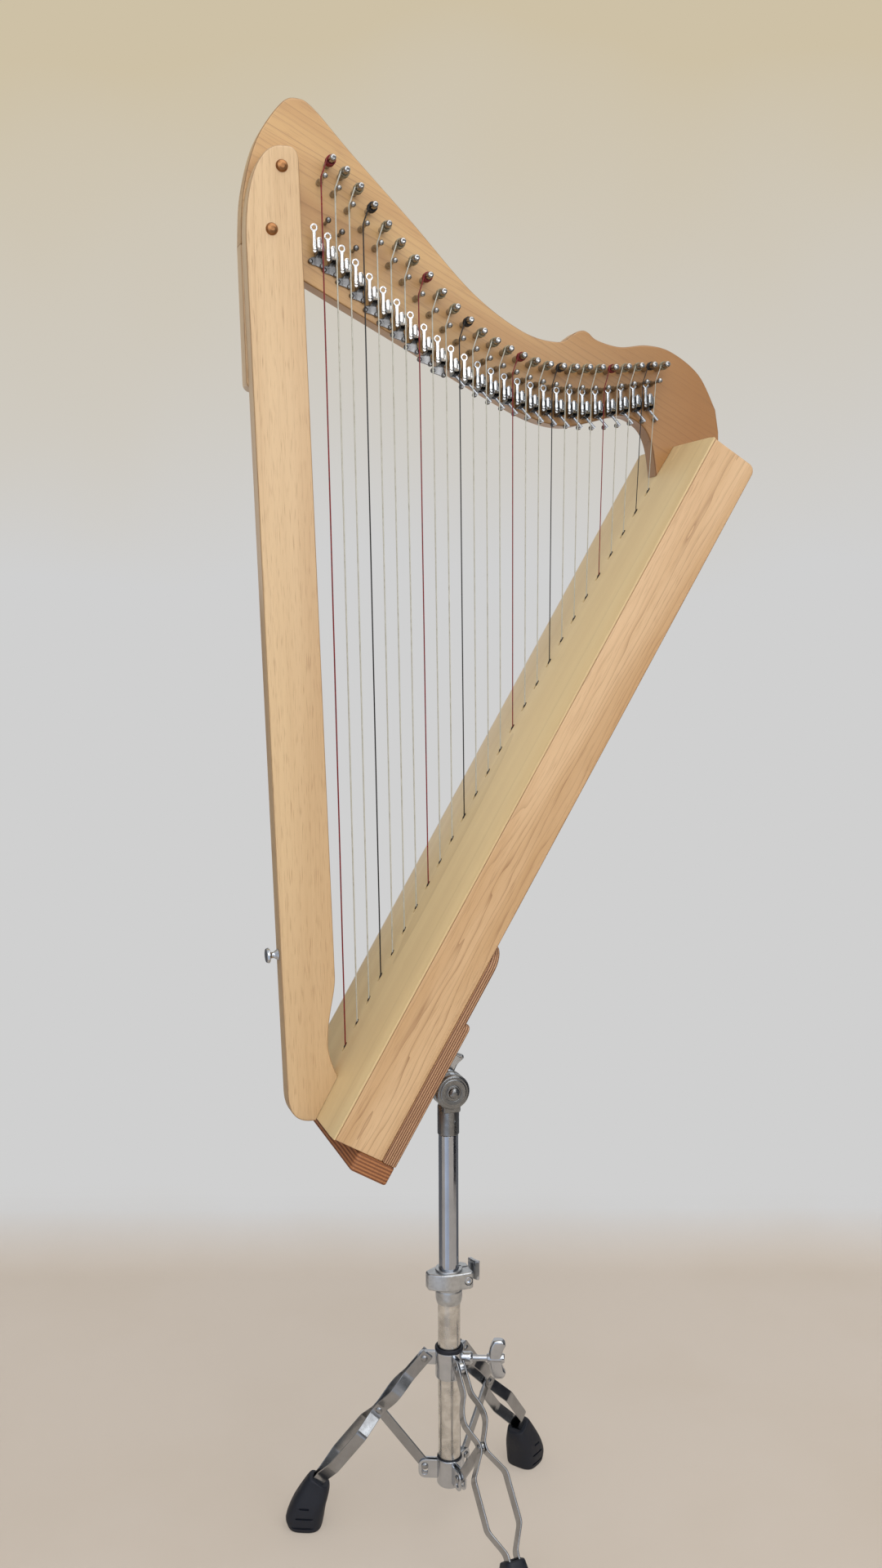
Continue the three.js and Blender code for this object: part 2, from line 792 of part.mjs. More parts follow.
// Plywood: the block under the box, and the stepped board behind it that carries the stand
function roundedRectangle(x0, x1, y0, y1, r) {
  const shape = new THREE.Shape();
  shape.absarc(x1 - r, y1 - r, r, 0, Math.PI / 2, false);
  shape.absarc(x0 + r, y1 - r, r, Math.PI / 2, Math.PI, false);
  shape.absarc(x0 + r, y0 + r, r, Math.PI, (3 * Math.PI) / 2, false);
  shape.absarc(x1 - r, y0 + r, r, (3 * Math.PI) / 2, 2 * Math.PI, false);
  shape.closePath();
  return shape;
}
const baseOutline = roundedRectangle(
  base_block_front, mount_back, -box_width / 2, box_width / 2, plywood_edge_radius,
);
mesh("base_block", column(baseOutline, -base_block_thickness, -seat_gap, 3), plywood, box);

// A plate on the box's back: a plan with two round upper corners, seen from behind
function backPlate(depth0, depth1, length, corner) {
  const half = box_width / 2;
  const shape = new THREE.Shape();
  shape.moveTo(0, -half);
  shape.absarc(length - corner, -half + corner, corner, -Math.PI / 2, 0, false);
  shape.absarc(length - corner, half - corner, corner, 0, Math.PI / 2, false);
  shape.lineTo(0, half);
  shape.closePath();
  const made = new THREE.ExtrudeGeometry(shape, {
    depth: depth1 - depth0, bevelEnabled: false, curveSegments: 5,
  });
  return made.rotateY(-Math.PI / 2).translate(depth1, 0, 0);
}

function mountBoard() {
  const front = box_depth + seat_gap;
  const step = front + mount_board_thickness;
  const lower = backPlate(front, step, mount_board_length, mount_board_corner);
  const upper = panel(
    roundedRectangle(step - cut_overrun, mount_back, -mount_step_thickness, mount_step_length, mount_step_thickness / 2),
    -box_width / 2, box_width / 2, 3,
  );
  const trimmed = cut(upper, [
    block(0, 2 * box_depth, -box_width, box_width, -2 * mount_step_thickness, 0),
  ]);
  return join([lower, trimmed]);
}
mesh("mount_board", mountBoard(), plywood, box);

// Pillar: a leaning board whose head follows the neck and whose foot is carved in above the soundboard
function pillarLeft(z) {
  return neck_left - seat_gap + Math.tan(pillar_lean_deg * RADIANS) * (pillar_top_height - z);
}

function pillarOutline() {
  const leftAt = pillarLeft;
  const rightAt = (z) => leftAt(z) + pillar_width;
  const curve = pillar_foot_curve_height;
  const outline = new THREE.Shape();
  outline.moveTo(leftAt(curve), curve);
  outline.lineTo(leftAt(0.905 * pillar_top_height), 0.905 * pillar_top_height);
  outline.bezierCurveTo(
    leftAt(pillar_top_height) + 0.05 * pillar_width, 0.96 * pillar_top_height,
    leftAt(pillar_top_height) + 0.4 * pillar_width, 0.995 * pillar_top_height,
    rightAt(pillar_top_height) - 0.12 * pillar_width, pillar_top_height,
  );
  outline.quadraticCurveTo(
    rightAt(pillar_top_height), pillar_top_height,
    rightAt(pillar_top_height), 0.988 * pillar_top_height,
  );
  outline.lineTo(rightAt(curve), curve);
  outline.bezierCurveTo(
    rightAt(curve), 0.88 * curve,
    rightAt(curve) - pillar_foot_waist, 0.72 * curve,
    rightAt(curve) - pillar_foot_waist, 0.52 * curve,
  );
  outline.quadraticCurveTo(
    rightAt(curve) - pillar_foot_waist, 0.4 * curve,
    rightAt(curve) + pillar_foot_waist / 2, 0.2 * curve,
  );
  outline.lineTo(0, -cut_overrun);
  outline.quadraticCurveTo(leftAt(0), -2 * cut_overrun, leftAt(0), 0.2 * curve);
  outline.closePath();
  return outline;
}

function pillarScrew() {
  const seat = pillar_thickness;
  const profile = [
    [0, seat - pillar_screw_length], [pillar_screw_shank_radius, seat - pillar_screw_length],
    [pillar_screw_shank_radius, seat], [pillar_screw_radius, seat],
    [pillar_screw_radius * 0.8, seat + pillar_screw_dome * 0.7],
    [pillar_screw_radius * 0.4, seat + pillar_screw_dome], [0, seat + pillar_screw_dome],
  ];
  return along(turned(profile, small_sides), 0, -1, 0);
}
// The pillar carries its two screws, whose shanks run through the neck and the block behind it
function pillar() {
  const board = cut(panel(pillarOutline(), -pillar_thickness, -seat_gap, 6), [boxEnvelope()]);
  const buttonBore = along(
    rod(strap_button_stem_radius + seat_gap, -strap_button_screw_length - seat_gap, cut_overrun, small_sides), -1, 0, 0,
  ).translate(pillarLeft(strap_button_height), -pillar_thickness / 2, strap_button_height);
  const screws = pillar_screw_places.map((place) => pillarScrew().translate(place.x, 0, place.y));
  return cut(join([board, ...screws]), [buttonBore]);
}
mesh("pillar", pillar(), maple, harp);

function strapButton() {
  const r = strap_button_radius;
  const l = strap_button_length;
  const profile = [
    [0, -strap_button_screw_length], [strap_button_stem_radius, -strap_button_screw_length],
    [strap_button_stem_radius, seat_gap], [r * 0.75, seat_gap], [strap_button_stem_radius, l * 0.35],
    [strap_button_stem_radius, l * 0.6], [r, l * 0.75], [r * 0.8, l], [0, l],
  ];
  return along(turned(profile, small_sides), -1, 0, 0);
}
mesh("strap_button", strapButton(), nickel, harp)
  .position.set(pillarLeft(strap_button_height), -pillar_thickness / 2, strap_button_height);

function topBlock() {
  const left = neck_left;
  const right = neck_left + top_block_width;
  const seam = neckPoint([0, 0.612]);
  const under = neckPoint([0.334, 0.352]);
  const fall = (under.y - seam.y) / (under.x - seam.x);
  const r = top_block_width / 6;
  const shape = new THREE.Shape();
  shape.moveTo(left, seam.y - seat_gap * 2);
  shape.lineTo(left, top_block_bottom + r);
  shape.absarc(left + r, top_block_bottom + r, r, Math.PI, (3 * Math.PI) / 2, false);
  shape.lineTo(right - r, top_block_bottom);
  shape.absarc(right - r, top_block_bottom + r, r, -Math.PI / 2, 0, false);
  shape.lineTo(right, seam.y - seat_gap * 2 + fall * top_block_width - cut_overrun);
  shape.closePath();
  return panel(shape, 0, neck_thickness, 4);
}
mesh("pillar_top_block", cut(topBlock(), pillar_screw_places.map(screwBore)), maple, harp);

// Tilter: the harp's half is built in the box's frame round the pivot, the stand's half on the tube's axis
function crosswise(profile, sides) {
  return turned(profile, sides).rotateX(-Math.PI / 2);
}

function rimmedDisc(y0, y1) {
  const r = disc_radius;
  return crosswise([
    [0, y0], [r - disc_rim, y0], [r, y0 + disc_rim], [r, y1 - disc_rim], [r - disc_rim, y1], [0, y1],
  ], round_sides);
}

function tilterUpper() {
  const behind = seat_gap - pivot_behind_board;
  const y0 = disc_split + seat_gap;
  const flange = block(
    behind, behind + flange_thickness, -flange_width / 2, flange_width / 2,
    -flange_length / 2, flange_length / 2,
  );
  const arm = block(behind, 0, y0, disc_back, -tilter_arm_half, tilter_arm_half);
  const screws = [];
  for (const y of [-1, 1]) {
    for (const z of [-1, 1]) {
      const screw = along(rod(
        flange_screw_radius, -flange_thickness / 2, flange_thickness / 2 + flange_screw_height, small_sides,
      ), 1, 0, 0);
      screws.push(screw.translate(
        behind + flange_thickness / 2,
        y * (flange_width / 2 - flange_screw_inset),
        z * (flange_length / 2 - flange_screw_inset),
      ));
    }
  }
  const bore = crosswise([
    [0, disc_front], [boreRadius(pivot_bolt_radius, small_sides), disc_front],
    [boreRadius(pivot_bolt_radius, small_sides), disc_back + cut_overrun], [0, disc_back + cut_overrun],
  ], small_sides);
  return cut(join([flange, arm, rimmedDisc(y0, disc_back), ...screws]), [bore]);
}
mesh("tilter_upper", tilterUpper(), nickel, box).position.set(pivot_depth, 0, pivot_up_box);

function tilterLower() {
  const head = disc_front - pivot_washer_thickness;
  const bolt = crosswise([
    [0, head - pivot_dome_height], [pivot_dome_radius / 2, head - pivot_dome_height * 0.85],
    [pivot_dome_radius, head], [pivot_washer_radius, head],
    [pivot_washer_radius, disc_front + disc_rim], [pivot_bolt_radius, disc_front + disc_rim],
    [pivot_bolt_radius, disc_back + handle_nut_thickness], [0, disc_back + handle_nut_thickness],
  ], small_sides + 2);
  const stem = rod(stem_radius, -stem_bottom_drop, -stem_top_drop, round_sides);
  const neckBlock = block(
    -tilter_arm_half, tilter_arm_half, disc_front / 2, disc_split,
    -stem_top_drop - cut_overrun, -pivot_dome_radius,
  );
  const plug = rod(
    upper_tube_radius - upper_tube_wall - seat_gap, -stem_bottom_drop - stem_plug_length,
    -stem_bottom_drop + cut_overrun, round_sides,
  );
  const screwHole = crosswise([
    [0, -stem_radius - cut_overrun], [stem_screw_radius, -stem_radius - cut_overrun],
    [stem_screw_radius, -stem_radius + cut_overrun], [0, -stem_radius + cut_overrun],
  ], small_sides).translate(0, 0, -stem_screw_drop);
  return cut(join([rimmedDisc(disc_front, disc_split), bolt, stem, neckBlock, plug]), [screwHole]);
}
const tilter = new THREE.Group();
tilter.position.z = pivot_height;
stand.add(tilter);
mesh("tilter_lower", tilterLower(), grey_cast, tilter);

function tilterHandle() {
  const y0 = disc_back + seat_gap;
  const y1 = y0 + handle_nut_thickness;
  const nut = crosswise([
    [0, y0], [handle_nut_radius, y0], [handle_nut_radius, y1], [0, y1],
  ], small_sides);
  const clear_of_stem = stem_radius + 2 * seat_gap;
  const bar = block(
    0, handle_bar_length, clear_of_stem, y1 - cut_overrun, -handle_bar_width / 2, handle_bar_width / 2,
  );
  const grip = block(
    handle_bar_length - handle_grip_width, handle_bar_length, clear_of_stem, y1,
    -handle_grip_length / 2, handle_grip_length / 2,
  );
  const bore = crosswise([
    [0, y0 - cut_overrun], [boreRadius(pivot_bolt_radius, small_sides), y0 - cut_overrun],
    [boreRadius(pivot_bolt_radius, small_sides), y1 + cut_overrun], [0, y1 + cut_overrun],
  ], small_sides);
  return cut(join([nut, bar, grip]), [bore]);
}
mesh("tilter_handle", tilterHandle(), nickel, tilter).rotation.y = -handle_bar_angle_deg * RADIANS;

// Tubes
mesh("upper_tube", ring(
  upper_tube_radius, upper_tube_radius - upper_tube_wall,
  upper_tube_bottom, pivot_height - stem_bottom_drop - seat_gap, round_sides,
), chrome, stand);
const lower_tube_bottom = low_hub_bottom + low_hub_floor + seat_gap;
mesh("lower_tube", ring(
  lower_tube_radius, lower_tube_radius - lower_tube_wall, lower_tube_bottom, clamp_seat, round_sides,
), chrome, stand);

// Clamp: a split collar drawn to one side, over a tapered sleeve
function clampCollar() {
  const r = clamp_corner;
  const shape = new THREE.Shape();
  shape.moveTo(-clamp_left, -r);
  shape.quadraticCurveTo(-clamp_left / 2, -clamp_half_depth, 0, -clamp_half_depth);
  shape.lineTo(clamp_right - r, -clamp_half_depth);
  shape.quadraticCurveTo(clamp_right, -clamp_half_depth, clamp_right, r - clamp_half_depth);
  shape.lineTo(clamp_right, clamp_rear_depth - r);
  shape.lineTo(clamp_right - r, clamp_rear_depth);
  shape.lineTo(0, clamp_rear_depth);
  shape.quadraticCurveTo(-clamp_left / 2, clamp_rear_depth, -clamp_left, r);
  shape.closePath();
  const collar = column(shape, clamp_bottom, clamp_top - clamp_ring_thickness, 3);
  const outer = upper_tube_radius + seat_gap;
  const inner = lower_tube_radius + seat_gap;
  const top = rod(inner + clamp_ring_thickness, clamp_bottom + cut_overrun, clamp_top, round_sides);
  const sleeve = turned([
    [0, sleeve_bottom - sleeve_taper], [inner + 2 * seat_gap, sleeve_bottom - sleeve_taper],
    [sleeve_radius, sleeve_bottom],
    [sleeve_radius, clamp_bottom + cut_overrun], [0, clamp_bottom + cut_overrun],
  ], round_sides);
  const bores = [
    rod(outer, clamp_seat - cut_overrun, clamp_top + cut_overrun, round_sides),
    rod(inner, 0, clamp_seat + seat_gap, round_sides),
    block(outer / 2, 2 * clamp_right, -clamp_slot / 2, clamp_slot / 2, clamp_bottom - sleeve_taper, 2 * clamp_top),
    crosswise([
      [0, -2 * clamp_half_depth], [clamp_bolt_radius + seat_gap, -2 * clamp_half_depth],
      [clamp_bolt_radius + seat_gap, 2 * clamp_half_depth], [0, 2 * clamp_half_depth],
    ], small_sides).translate(clamp_bolt_side, 0, clamp_middle),
    crosswise([
      [0, -2 * clamp_half_depth], [clamp_bolt_head_radius + seat_gap, -2 * clamp_half_depth],
      [clamp_bolt_head_radius + seat_gap, clamp_bolt_head_depth - clamp_half_depth],
      [0, clamp_bolt_head_depth - clamp_half_depth],
    ], small_sides).translate(clamp_bolt_side, 0, clamp_middle),
  ];
  return cut(join([collar, top, sleeve]), bores);
}
const clamp_middle = (clamp_bottom + clamp_top - clamp_ring_thickness) / 2;
mesh("clamp_collar", clampCollar(), grey_cast, stand);

// The bolt's rear end carries an upright pin, on which the cam lever swings
const lever_pin_depth = clamp_rear_depth + seat_gap + clamp_lever_barrel_radius;
function clampBolt() {
  const front = clamp_bolt_head_depth - clamp_half_depth - seat_gap;
  return crosswise([
    [0, -clamp_half_depth], [clamp_bolt_head_radius, -clamp_half_depth], [clamp_bolt_head_radius, front],
    [clamp_bolt_radius, front], [clamp_bolt_radius, lever_pin_depth + clamp_bolt_radius / 2],
    [0, lever_pin_depth + clamp_bolt_radius / 2],
  ], small_sides);
}
const clampScrew = new THREE.Group();
clampScrew.position.set(clamp_bolt_side, 0, clamp_middle);
stand.add(clampScrew);
mesh("clamp_bolt", clampBolt(), nickel, clampScrew);

function clampLever() {
  const half = clamp_lever_barrel_height / 2;
  const barrel = rod(clamp_lever_barrel_radius, -half, half, small_sides);
  const x = clamp_right - clamp_bolt_side + 2 * seat_gap;
  const y = clamp_lever_barrel_radius;
  const t = clamp_lever_thickness;
  const shape = new THREE.Shape();
  shape.moveTo(0, -y);
  shape.lineTo(x, -y);
  shape.quadraticCurveTo(x + t, -y - t, x + t, -clamp_lever_wrap);
  shape.lineTo(x + 2 * t, -clamp_lever_wrap);
  shape.quadraticCurveTo(x + 3 * t, y - t, x + t, y);
  shape.lineTo(0, y);
  shape.closePath();
  const arm = column(shape, -half, half, 4);
  const slot = block(
    -clamp_lever_wrap, clamp_bolt_radius + 2 * seat_gap, -clamp_lever_wrap, clamp_bolt_radius + 2 * seat_gap,
    -clamp_bolt_radius - seat_gap, clamp_bolt_radius + seat_gap,
  );
  return cut(join([barrel, arm]), [slot]);
}
const clampLeverPivot = new THREE.Group();
clampLeverPivot.position.set(0, lever_pin_depth, 0);
clampScrew.add(clampLeverPivot);
mesh("clamp_lever", clampLever(), nickel, clampLeverPivot);

// Hubs
function radial(azimuth_deg, geometry) {
  return geometry.rotateZ(azimuth_deg * RADIANS);
}

function crossRod(radius, half, sides) {
  return crosswise([[0, -half], [radius, -half], [radius, half], [0, half]], sides);
}

function upperHub() {
  const inner = lower_tube_radius + seat_gap;
  const ring_bottom = hub_top - hub_ring_thickness;
  const ring_radius = hub_radius + hub_ring_overhang;
  const sleeve = turned([
    [inner, hub_bottom], [hub_radius, hub_bottom], [hub_radius, ring_bottom],
    [ring_radius, ring_bottom], [ring_radius, hub_top], [inner, hub_top], [inner, hub_bottom],
  ], round_sides);
  const pieces = [sleeve];
  const bores = [];
  for (const azimuth of Object.values(leg_azimuths_deg)) {
    const shape = new THREE.Shape();
    shape.moveTo(inner + seat_gap, leg_pivot_height - hub_ear_end);
    shape.absarc(leg_pivot_radius, leg_pivot_height, hub_ear_end, -Math.PI / 2, Math.PI / 2, false);
    shape.lineTo(inner + seat_gap, leg_pivot_height + hub_ear_end);
    shape.closePath();
    pieces.push(radial(azimuth, panel(shape, -hub_ear_half, hub_ear_half, 4)));
    const bore = crossRod(boreRadius(leg_pin_radius, small_sides), 2 * hub_ear_half, small_sides);
    bores.push(radial(azimuth, bore.translate(leg_pivot_radius, 0, leg_pivot_height)));
  }
  const boss = along(rod(hub_boss_radius, inner + seat_gap, hub_boss_reach, small_sides), 1, 0, 0);
  pieces.push(radial(hub_bolt_azimuth_deg, boss.translate(0, 0, leg_pivot_height)));
  const threaded = along(
    rod(boreRadius(hub_bolt_radius, small_sides), 0, 2 * hub_boss_reach, small_sides), 1, 0, 0,
  );
  bores.push(radial(hub_bolt_azimuth_deg, threaded.translate(0, 0, leg_pivot_height)));
  return cut(join(pieces), bores);
}
mesh("upper_hub", upperHub(), nickel, stand);

function hubBolt() {
  const reach = hub_bolt_reach + wing_depth / 2;
  const stem = along(rod(hub_bolt_radius, lower_tube_radius + seat_gap, reach, small_sides), 1, 0, 0);
  const half = wing_span / 2;
  const shape = new THREE.Shape();
  shape.moveTo(hub_bolt_reach, -wing_waist / 2);
  shape.lineTo(hub_bolt_reach, wing_waist / 2);
  shape.quadraticCurveTo(hub_bolt_reach, half * 0.6, hub_bolt_reach + wing_depth * 0.3, half);
  shape.quadraticCurveTo(
    hub_bolt_reach + wing_depth, half * 1.1, hub_bolt_reach + wing_depth, half * 0.7,
  );
  shape.quadraticCurveTo(
    hub_bolt_reach + wing_depth * 0.5, 0, hub_bolt_reach + wing_depth, -half * 0.7,
  );
  shape.quadraticCurveTo(
    hub_bolt_reach + wing_depth, -half * 1.1, hub_bolt_reach + wing_depth * 0.3, -half,
  );
  shape.quadraticCurveTo(hub_bolt_reach, -half * 0.6, hub_bolt_reach, -wing_waist / 2);
  return join([stem, panel(shape, -wing_thickness / 2, wing_thickness / 2, 4)]);
}
const hubBoltPivot = new THREE.Group();
hubBoltPivot.position.z = leg_pivot_height;
hubBoltPivot.rotation.z = hub_bolt_azimuth_deg * RADIANS;
stand.add(hubBoltPivot);
mesh("hub_wing_bolt", hubBolt(), nickel, hubBoltPivot);

// The forks are slotted below the brace pivot, where a folding brace's pin runs down
function lowerHub() {
  const inner = lower_tube_radius + seat_gap;
  const cup = turned([
    [0, low_hub_bottom], [low_hub_radius, low_hub_bottom], [low_hub_radius, low_hub_top],
    [inner, low_hub_top], [inner, low_hub_bottom + low_hub_floor], [0, low_hub_bottom + low_hub_floor],
  ], round_sides);
  const pieces = [cup];
  const slots = [];
  const slot_half = leg_pin_radius + 2 * seat_gap;
  for (const azimuth of Object.values(leg_azimuths_deg)) {
    for (const hand of [-1, 1]) {
      const shape = new THREE.Shape();
      const low = brace_pivot_height - open_pivot_travel;
      shape.moveTo(inner + seat_gap, low - fork_end);
      shape.absarc(leg_pivot_radius, low, fork_end, -Math.PI / 2, 0, false);
      shape.absarc(leg_pivot_radius, brace_pivot_height, fork_end, 0, Math.PI / 2, false);
      shape.lineTo(inner + seat_gap, brace_pivot_height + fork_end);
      shape.closePath();
      const y0 = hand > 0 ? fork_inner : -fork_inner - fork_wall;
      pieces.push(radial(azimuth, panel(shape, y0, y0 + fork_wall, 3)));
    }
    const slot = new THREE.Shape();
    slot.absarc(leg_pivot_radius, brace_pivot_height, slot_half, 0, Math.PI, false);
    slot.absarc(
      leg_pivot_radius, brace_pivot_height - open_pivot_travel, slot_half, Math.PI, 2 * Math.PI, false,
    );
    slots.push(radial(azimuth, panel(slot, -2 * fork_end, 2 * fork_end, 3)));
  }
  return cut(join(pieces), slots);
}
mesh("lower_hub", lowerHub(), nickel, stand);

// A leg: two strips bent apart between the hub, the brace's rivet and the foot, as places along the leg and
// half the room between the strips
const leg_bend_half_places = [
  [-leg_strip_width / 2, hub_ear_half + seat_gap], [leg_strip_width / 2, hub_ear_half + seat_gap],
  [arm_length / 3, hub_ear_half + seat_gap], [arm_length * 0.57, leg_upper_bulge],
  [arm_length * 0.73, leg_upper_bulge],
  [arm_length - leg_strip_width / 3, brace_half + seat_gap],
  [arm_length + leg_strip_width / 3, brace_half + seat_gap],
  [arm_length * 1.35, leg_lower_bulge], [arm_length * 1.97, leg_lower_bulge],
  [leg_pocket_start, leg_tip_half], [leg_end, leg_tip_half],
];

function legStrip(hand) {
  const inner = leg_bend_half_places;
  const outer = inner.map(([x, y]) => [x, y + leg_strip_thickness]);
  const outline = [...inner, ...outer.reverse()].map(([x, y]) => [x, hand * y]);
  return column(polygon(outline), -leg_strip_width / 2, leg_strip_width / 2);
}

function rivet(half) {
  const r = rivet_head_radius;
  const h = rivet_head_height;
  return crosswise([
    [0, -half - h], [r / 2, -half - h], [r, -half], [leg_pin_radius, -half],
    [leg_pin_radius, half], [r, half], [r / 2, half + h], [0, half + h],
  ], pin_sides);
}

function leg() {
  const hubRivet = rivet(hub_ear_half + seat_gap + leg_strip_thickness - seat_gap / 2);
  const braceRivet = rivet(brace_half + seat_gap + leg_strip_thickness - seat_gap / 2);
  return join([legStrip(1), legStrip(-1), hubRivet, braceRivet.translate(arm_length, 0, 0)]);
}

function brace() {
  const shape = new THREE.Shape();
  shape.absarc(arm_length, 0, brace_width / 2, -Math.PI / 2, Math.PI / 2, false);
  shape.absarc(0, 0, brace_width / 2, Math.PI / 2, (3 * Math.PI) / 2, false);
  shape.closePath();
  shape.holes.push(hole(0, 0, boreRadius(leg_pin_radius, small_sides)));
  const bar = panel(shape, -brace_half, brace_half, small_sides / 2);
  return join([bar, rivet(fork_inner + fork_wall + seat_gap).translate(arm_length, 0, 0)]);
}

// A rubber foot, steeper than the leg, with a pocket for the strips. It is cut flat at the floor, and has
// level grooves on both its sides
function foot() {
  const r = foot_toe_rounding;
  const shape = polygon([
    [foot_start, foot_front_rise], [foot_start, -foot_back_drop],
    [foot_heel_reach, -foot_heel_drop], [foot_heel_reach + 2 * r, -foot_heel_drop - r / 2],
    [foot_toe_reach + 2 * r, -foot_heel_drop], [foot_toe_reach + r, foot_toe_rise - 2 * r],
    [foot_toe_reach, foot_toe_rise],
  ]);
  const body = panel(shape, -foot_half_width, foot_half_width);
  const far = foot_toe_reach + 2 * r;
  const side_taper = polygon([
    [foot_start, -foot_half_width * 0.6], [foot_start + foot_half_width, -foot_half_width],
    [far, -foot_half_width], [far, foot_half_width],
    [foot_start + foot_half_width, foot_half_width], [foot_start, foot_half_width * 0.6],
  ]);
  const waisted = surface(solid(body).intersect(solid(column(side_taper, -far, far))));
  const pocket = leg_tip_half + leg_strip_thickness + seat_gap;
  const tools = [
    block(
      0, leg_end + seat_gap, -pocket, pocket,
      -leg_strip_width / 2 - seat_gap, leg_strip_width / 2 + seat_gap,
    ),
  ];
  const level = [block(-far, far, -2 * foot_half_width, 2 * foot_half_width, -far, 0)];
  for (let i = 0; i < foot_groove_count; i += 1) {
    const reach = (foot_groove_length - i * foot_groove_shortening) / 2;
    const z = foot_groove_rise + i * foot_groove_step;
    const inner = foot_half_width - foot_groove_depth;
    const x0 = -foot_sole_middle - reach;
    const x1 = -foot_sole_middle + reach;
    level.push(block(x0, x1, inner, 2 * foot_half_width, z, z + foot_groove_width));
    level.push(block(x0, x1, -2 * foot_half_width, -inner, z, z + foot_groove_width));
  }
  const drop = leg_pivot_height / Math.sin(leg_angle);
  tools.push(...level.map((tool) => tool.rotateY(-leg_angle).translate(drop, 0, 0)));
  return cut(waisted, tools);
}

for (const [name, azimuth] of Object.entries(leg_azimuths_deg)) {
  const sector = new THREE.Group();
  sector.rotation.z = azimuth * RADIANS;
  stand.add(sector);
  const legPivot = new THREE.Group();
  legPivot.position.set(leg_pivot_radius, 0, leg_pivot_height);
  legPivot.rotation.y = leg_angle;
  sector.add(legPivot);
  mesh("leg_" + name, leg(), nickel, legPivot);
  mesh("foot_" + name, foot(), rubber, legPivot);
  const bracePivot = new THREE.Group();
  bracePivot.position.set(
    leg_pivot_radius + arm_length * Math.cos(leg_angle), 0,
    leg_pivot_height - arm_length * Math.sin(leg_angle),
  );
  bracePivot.rotation.y = Math.PI - leg_angle;
  sector.add(bracePivot);
  mesh("brace_" + name, brace(), nickel, bracePivot);
}

// The part stands on the floor, with its origin below the middle of its box
part.updateMatrixWorld(true);
const extent = new THREE.Box3().setFromObject(part, true);
stand.position.set(-(extent.min.x + extent.max.x) / 2, -(extent.min.y + extent.max.y) / 2, -extent.min.z);

export default part;
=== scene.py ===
"""Looks of a lever harp on its tripod stand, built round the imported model."""

import json
import math

import bmesh
import bpy
from bpy.props import FloatProperty, FloatVectorProperty, IntProperty, PointerProperty
from mathutils import Matrix, Vector


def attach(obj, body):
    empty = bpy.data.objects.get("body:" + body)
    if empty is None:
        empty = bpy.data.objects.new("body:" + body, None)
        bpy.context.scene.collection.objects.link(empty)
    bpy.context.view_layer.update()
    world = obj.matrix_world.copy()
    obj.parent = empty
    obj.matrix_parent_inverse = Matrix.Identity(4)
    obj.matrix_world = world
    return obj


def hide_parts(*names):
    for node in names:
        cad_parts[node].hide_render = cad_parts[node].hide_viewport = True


bl_info = {
    "name": "Lever Harp",
    "version": (1, 0, 0),
    "blender": (4, 5, 0),
    "location": "3D View > Sidebar > Harp",
    "description": "Builds a lever harp of 26 strings on a tripod stand",
    "category": "Object",
}

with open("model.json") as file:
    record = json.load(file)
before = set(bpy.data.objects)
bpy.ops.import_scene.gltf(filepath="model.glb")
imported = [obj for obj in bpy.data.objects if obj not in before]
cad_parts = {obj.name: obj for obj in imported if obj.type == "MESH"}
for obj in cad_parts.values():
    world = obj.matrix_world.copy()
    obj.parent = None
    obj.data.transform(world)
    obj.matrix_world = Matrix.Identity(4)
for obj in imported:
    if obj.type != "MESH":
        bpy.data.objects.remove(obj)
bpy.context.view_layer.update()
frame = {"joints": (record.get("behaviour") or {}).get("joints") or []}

MM = 0.001

# Soundbox, in millimetres
BOX_LENGTH = 744
BOX_WIDTH = 156
BOX_DEPTH = 54.6
BOX_LEAN = math.radians(32)
BOARD_THICKNESS = 3
BOARD_BELLY = 8
SIDE_THICKNESS = 9
BACK_THICKNESS = 4
END_THICKNESS = 12
SIDE_CORNER = 8
RIB_WIDTH = 16
RIB_THICKNESS = 7
HOLE_WIDTH = 60
HOLE_LENGTH = 92
HOLE_PLACES = (330, 480, 630)
BASE_BLOCK_THICKNESS = 19
BASE_BLOCK_FRONT = 30
MOUNT_BOARD_THICKNESS = 9
MOUNT_BOARD_LENGTH = 225
MOUNT_BOARD_CORNER = 24
MOUNT_STEP_LENGTH = 147
MOUNT_STEP_THICKNESS = 6
MOUNT_BACK = BOX_DEPTH + 0.3 + MOUNT_BOARD_THICKNESS + MOUNT_STEP_THICKNESS
SEAT_GAP = 0.3

# Strings
STRING_COUNT = 26
FIRST_STRING, LAST_STRING = 71, 692
BASS_DIAMETER, TREBLE_DIAMETER = 1.4, 0.8
STANDOFF = 18
SLOT_WIDTH, SLOT_LENGTH = 3.2, 9

# Neck
NECK_THICKNESS = 19
NECK_REACH = 480
NECK_RISE = 330
NECK_LEFT = -35
NECK_FOOT = 600
BRIDGE_HEIGHTS = (0.782, 0.573, 0.373, 0.272, 0.248, 0.275)
TUNING_HEIGHTS = (0.829, 0.624, 0.423, 0.319, 0.307, 0.322)
EYE_DROPS = (0.142, 0.088, 0.039, 0.022, 0.022, 0.021)

# Pillar
PILLAR_WIDTH = 51
PILLAR_THICKNESS = 20
PILLAR_TOP = 882
PILLAR_LEAN = math.radians(0.55)
PILLAR_CURVE = 134
PILLAR_WAIST = 9
TOP_BLOCK_WIDTH = 43
TOP_BLOCK_BOTTOM = 675
PILLAR_SCREWS = ((0.073, 0.801), (0.05, 0.637))
BUTTON_HEIGHT = 159

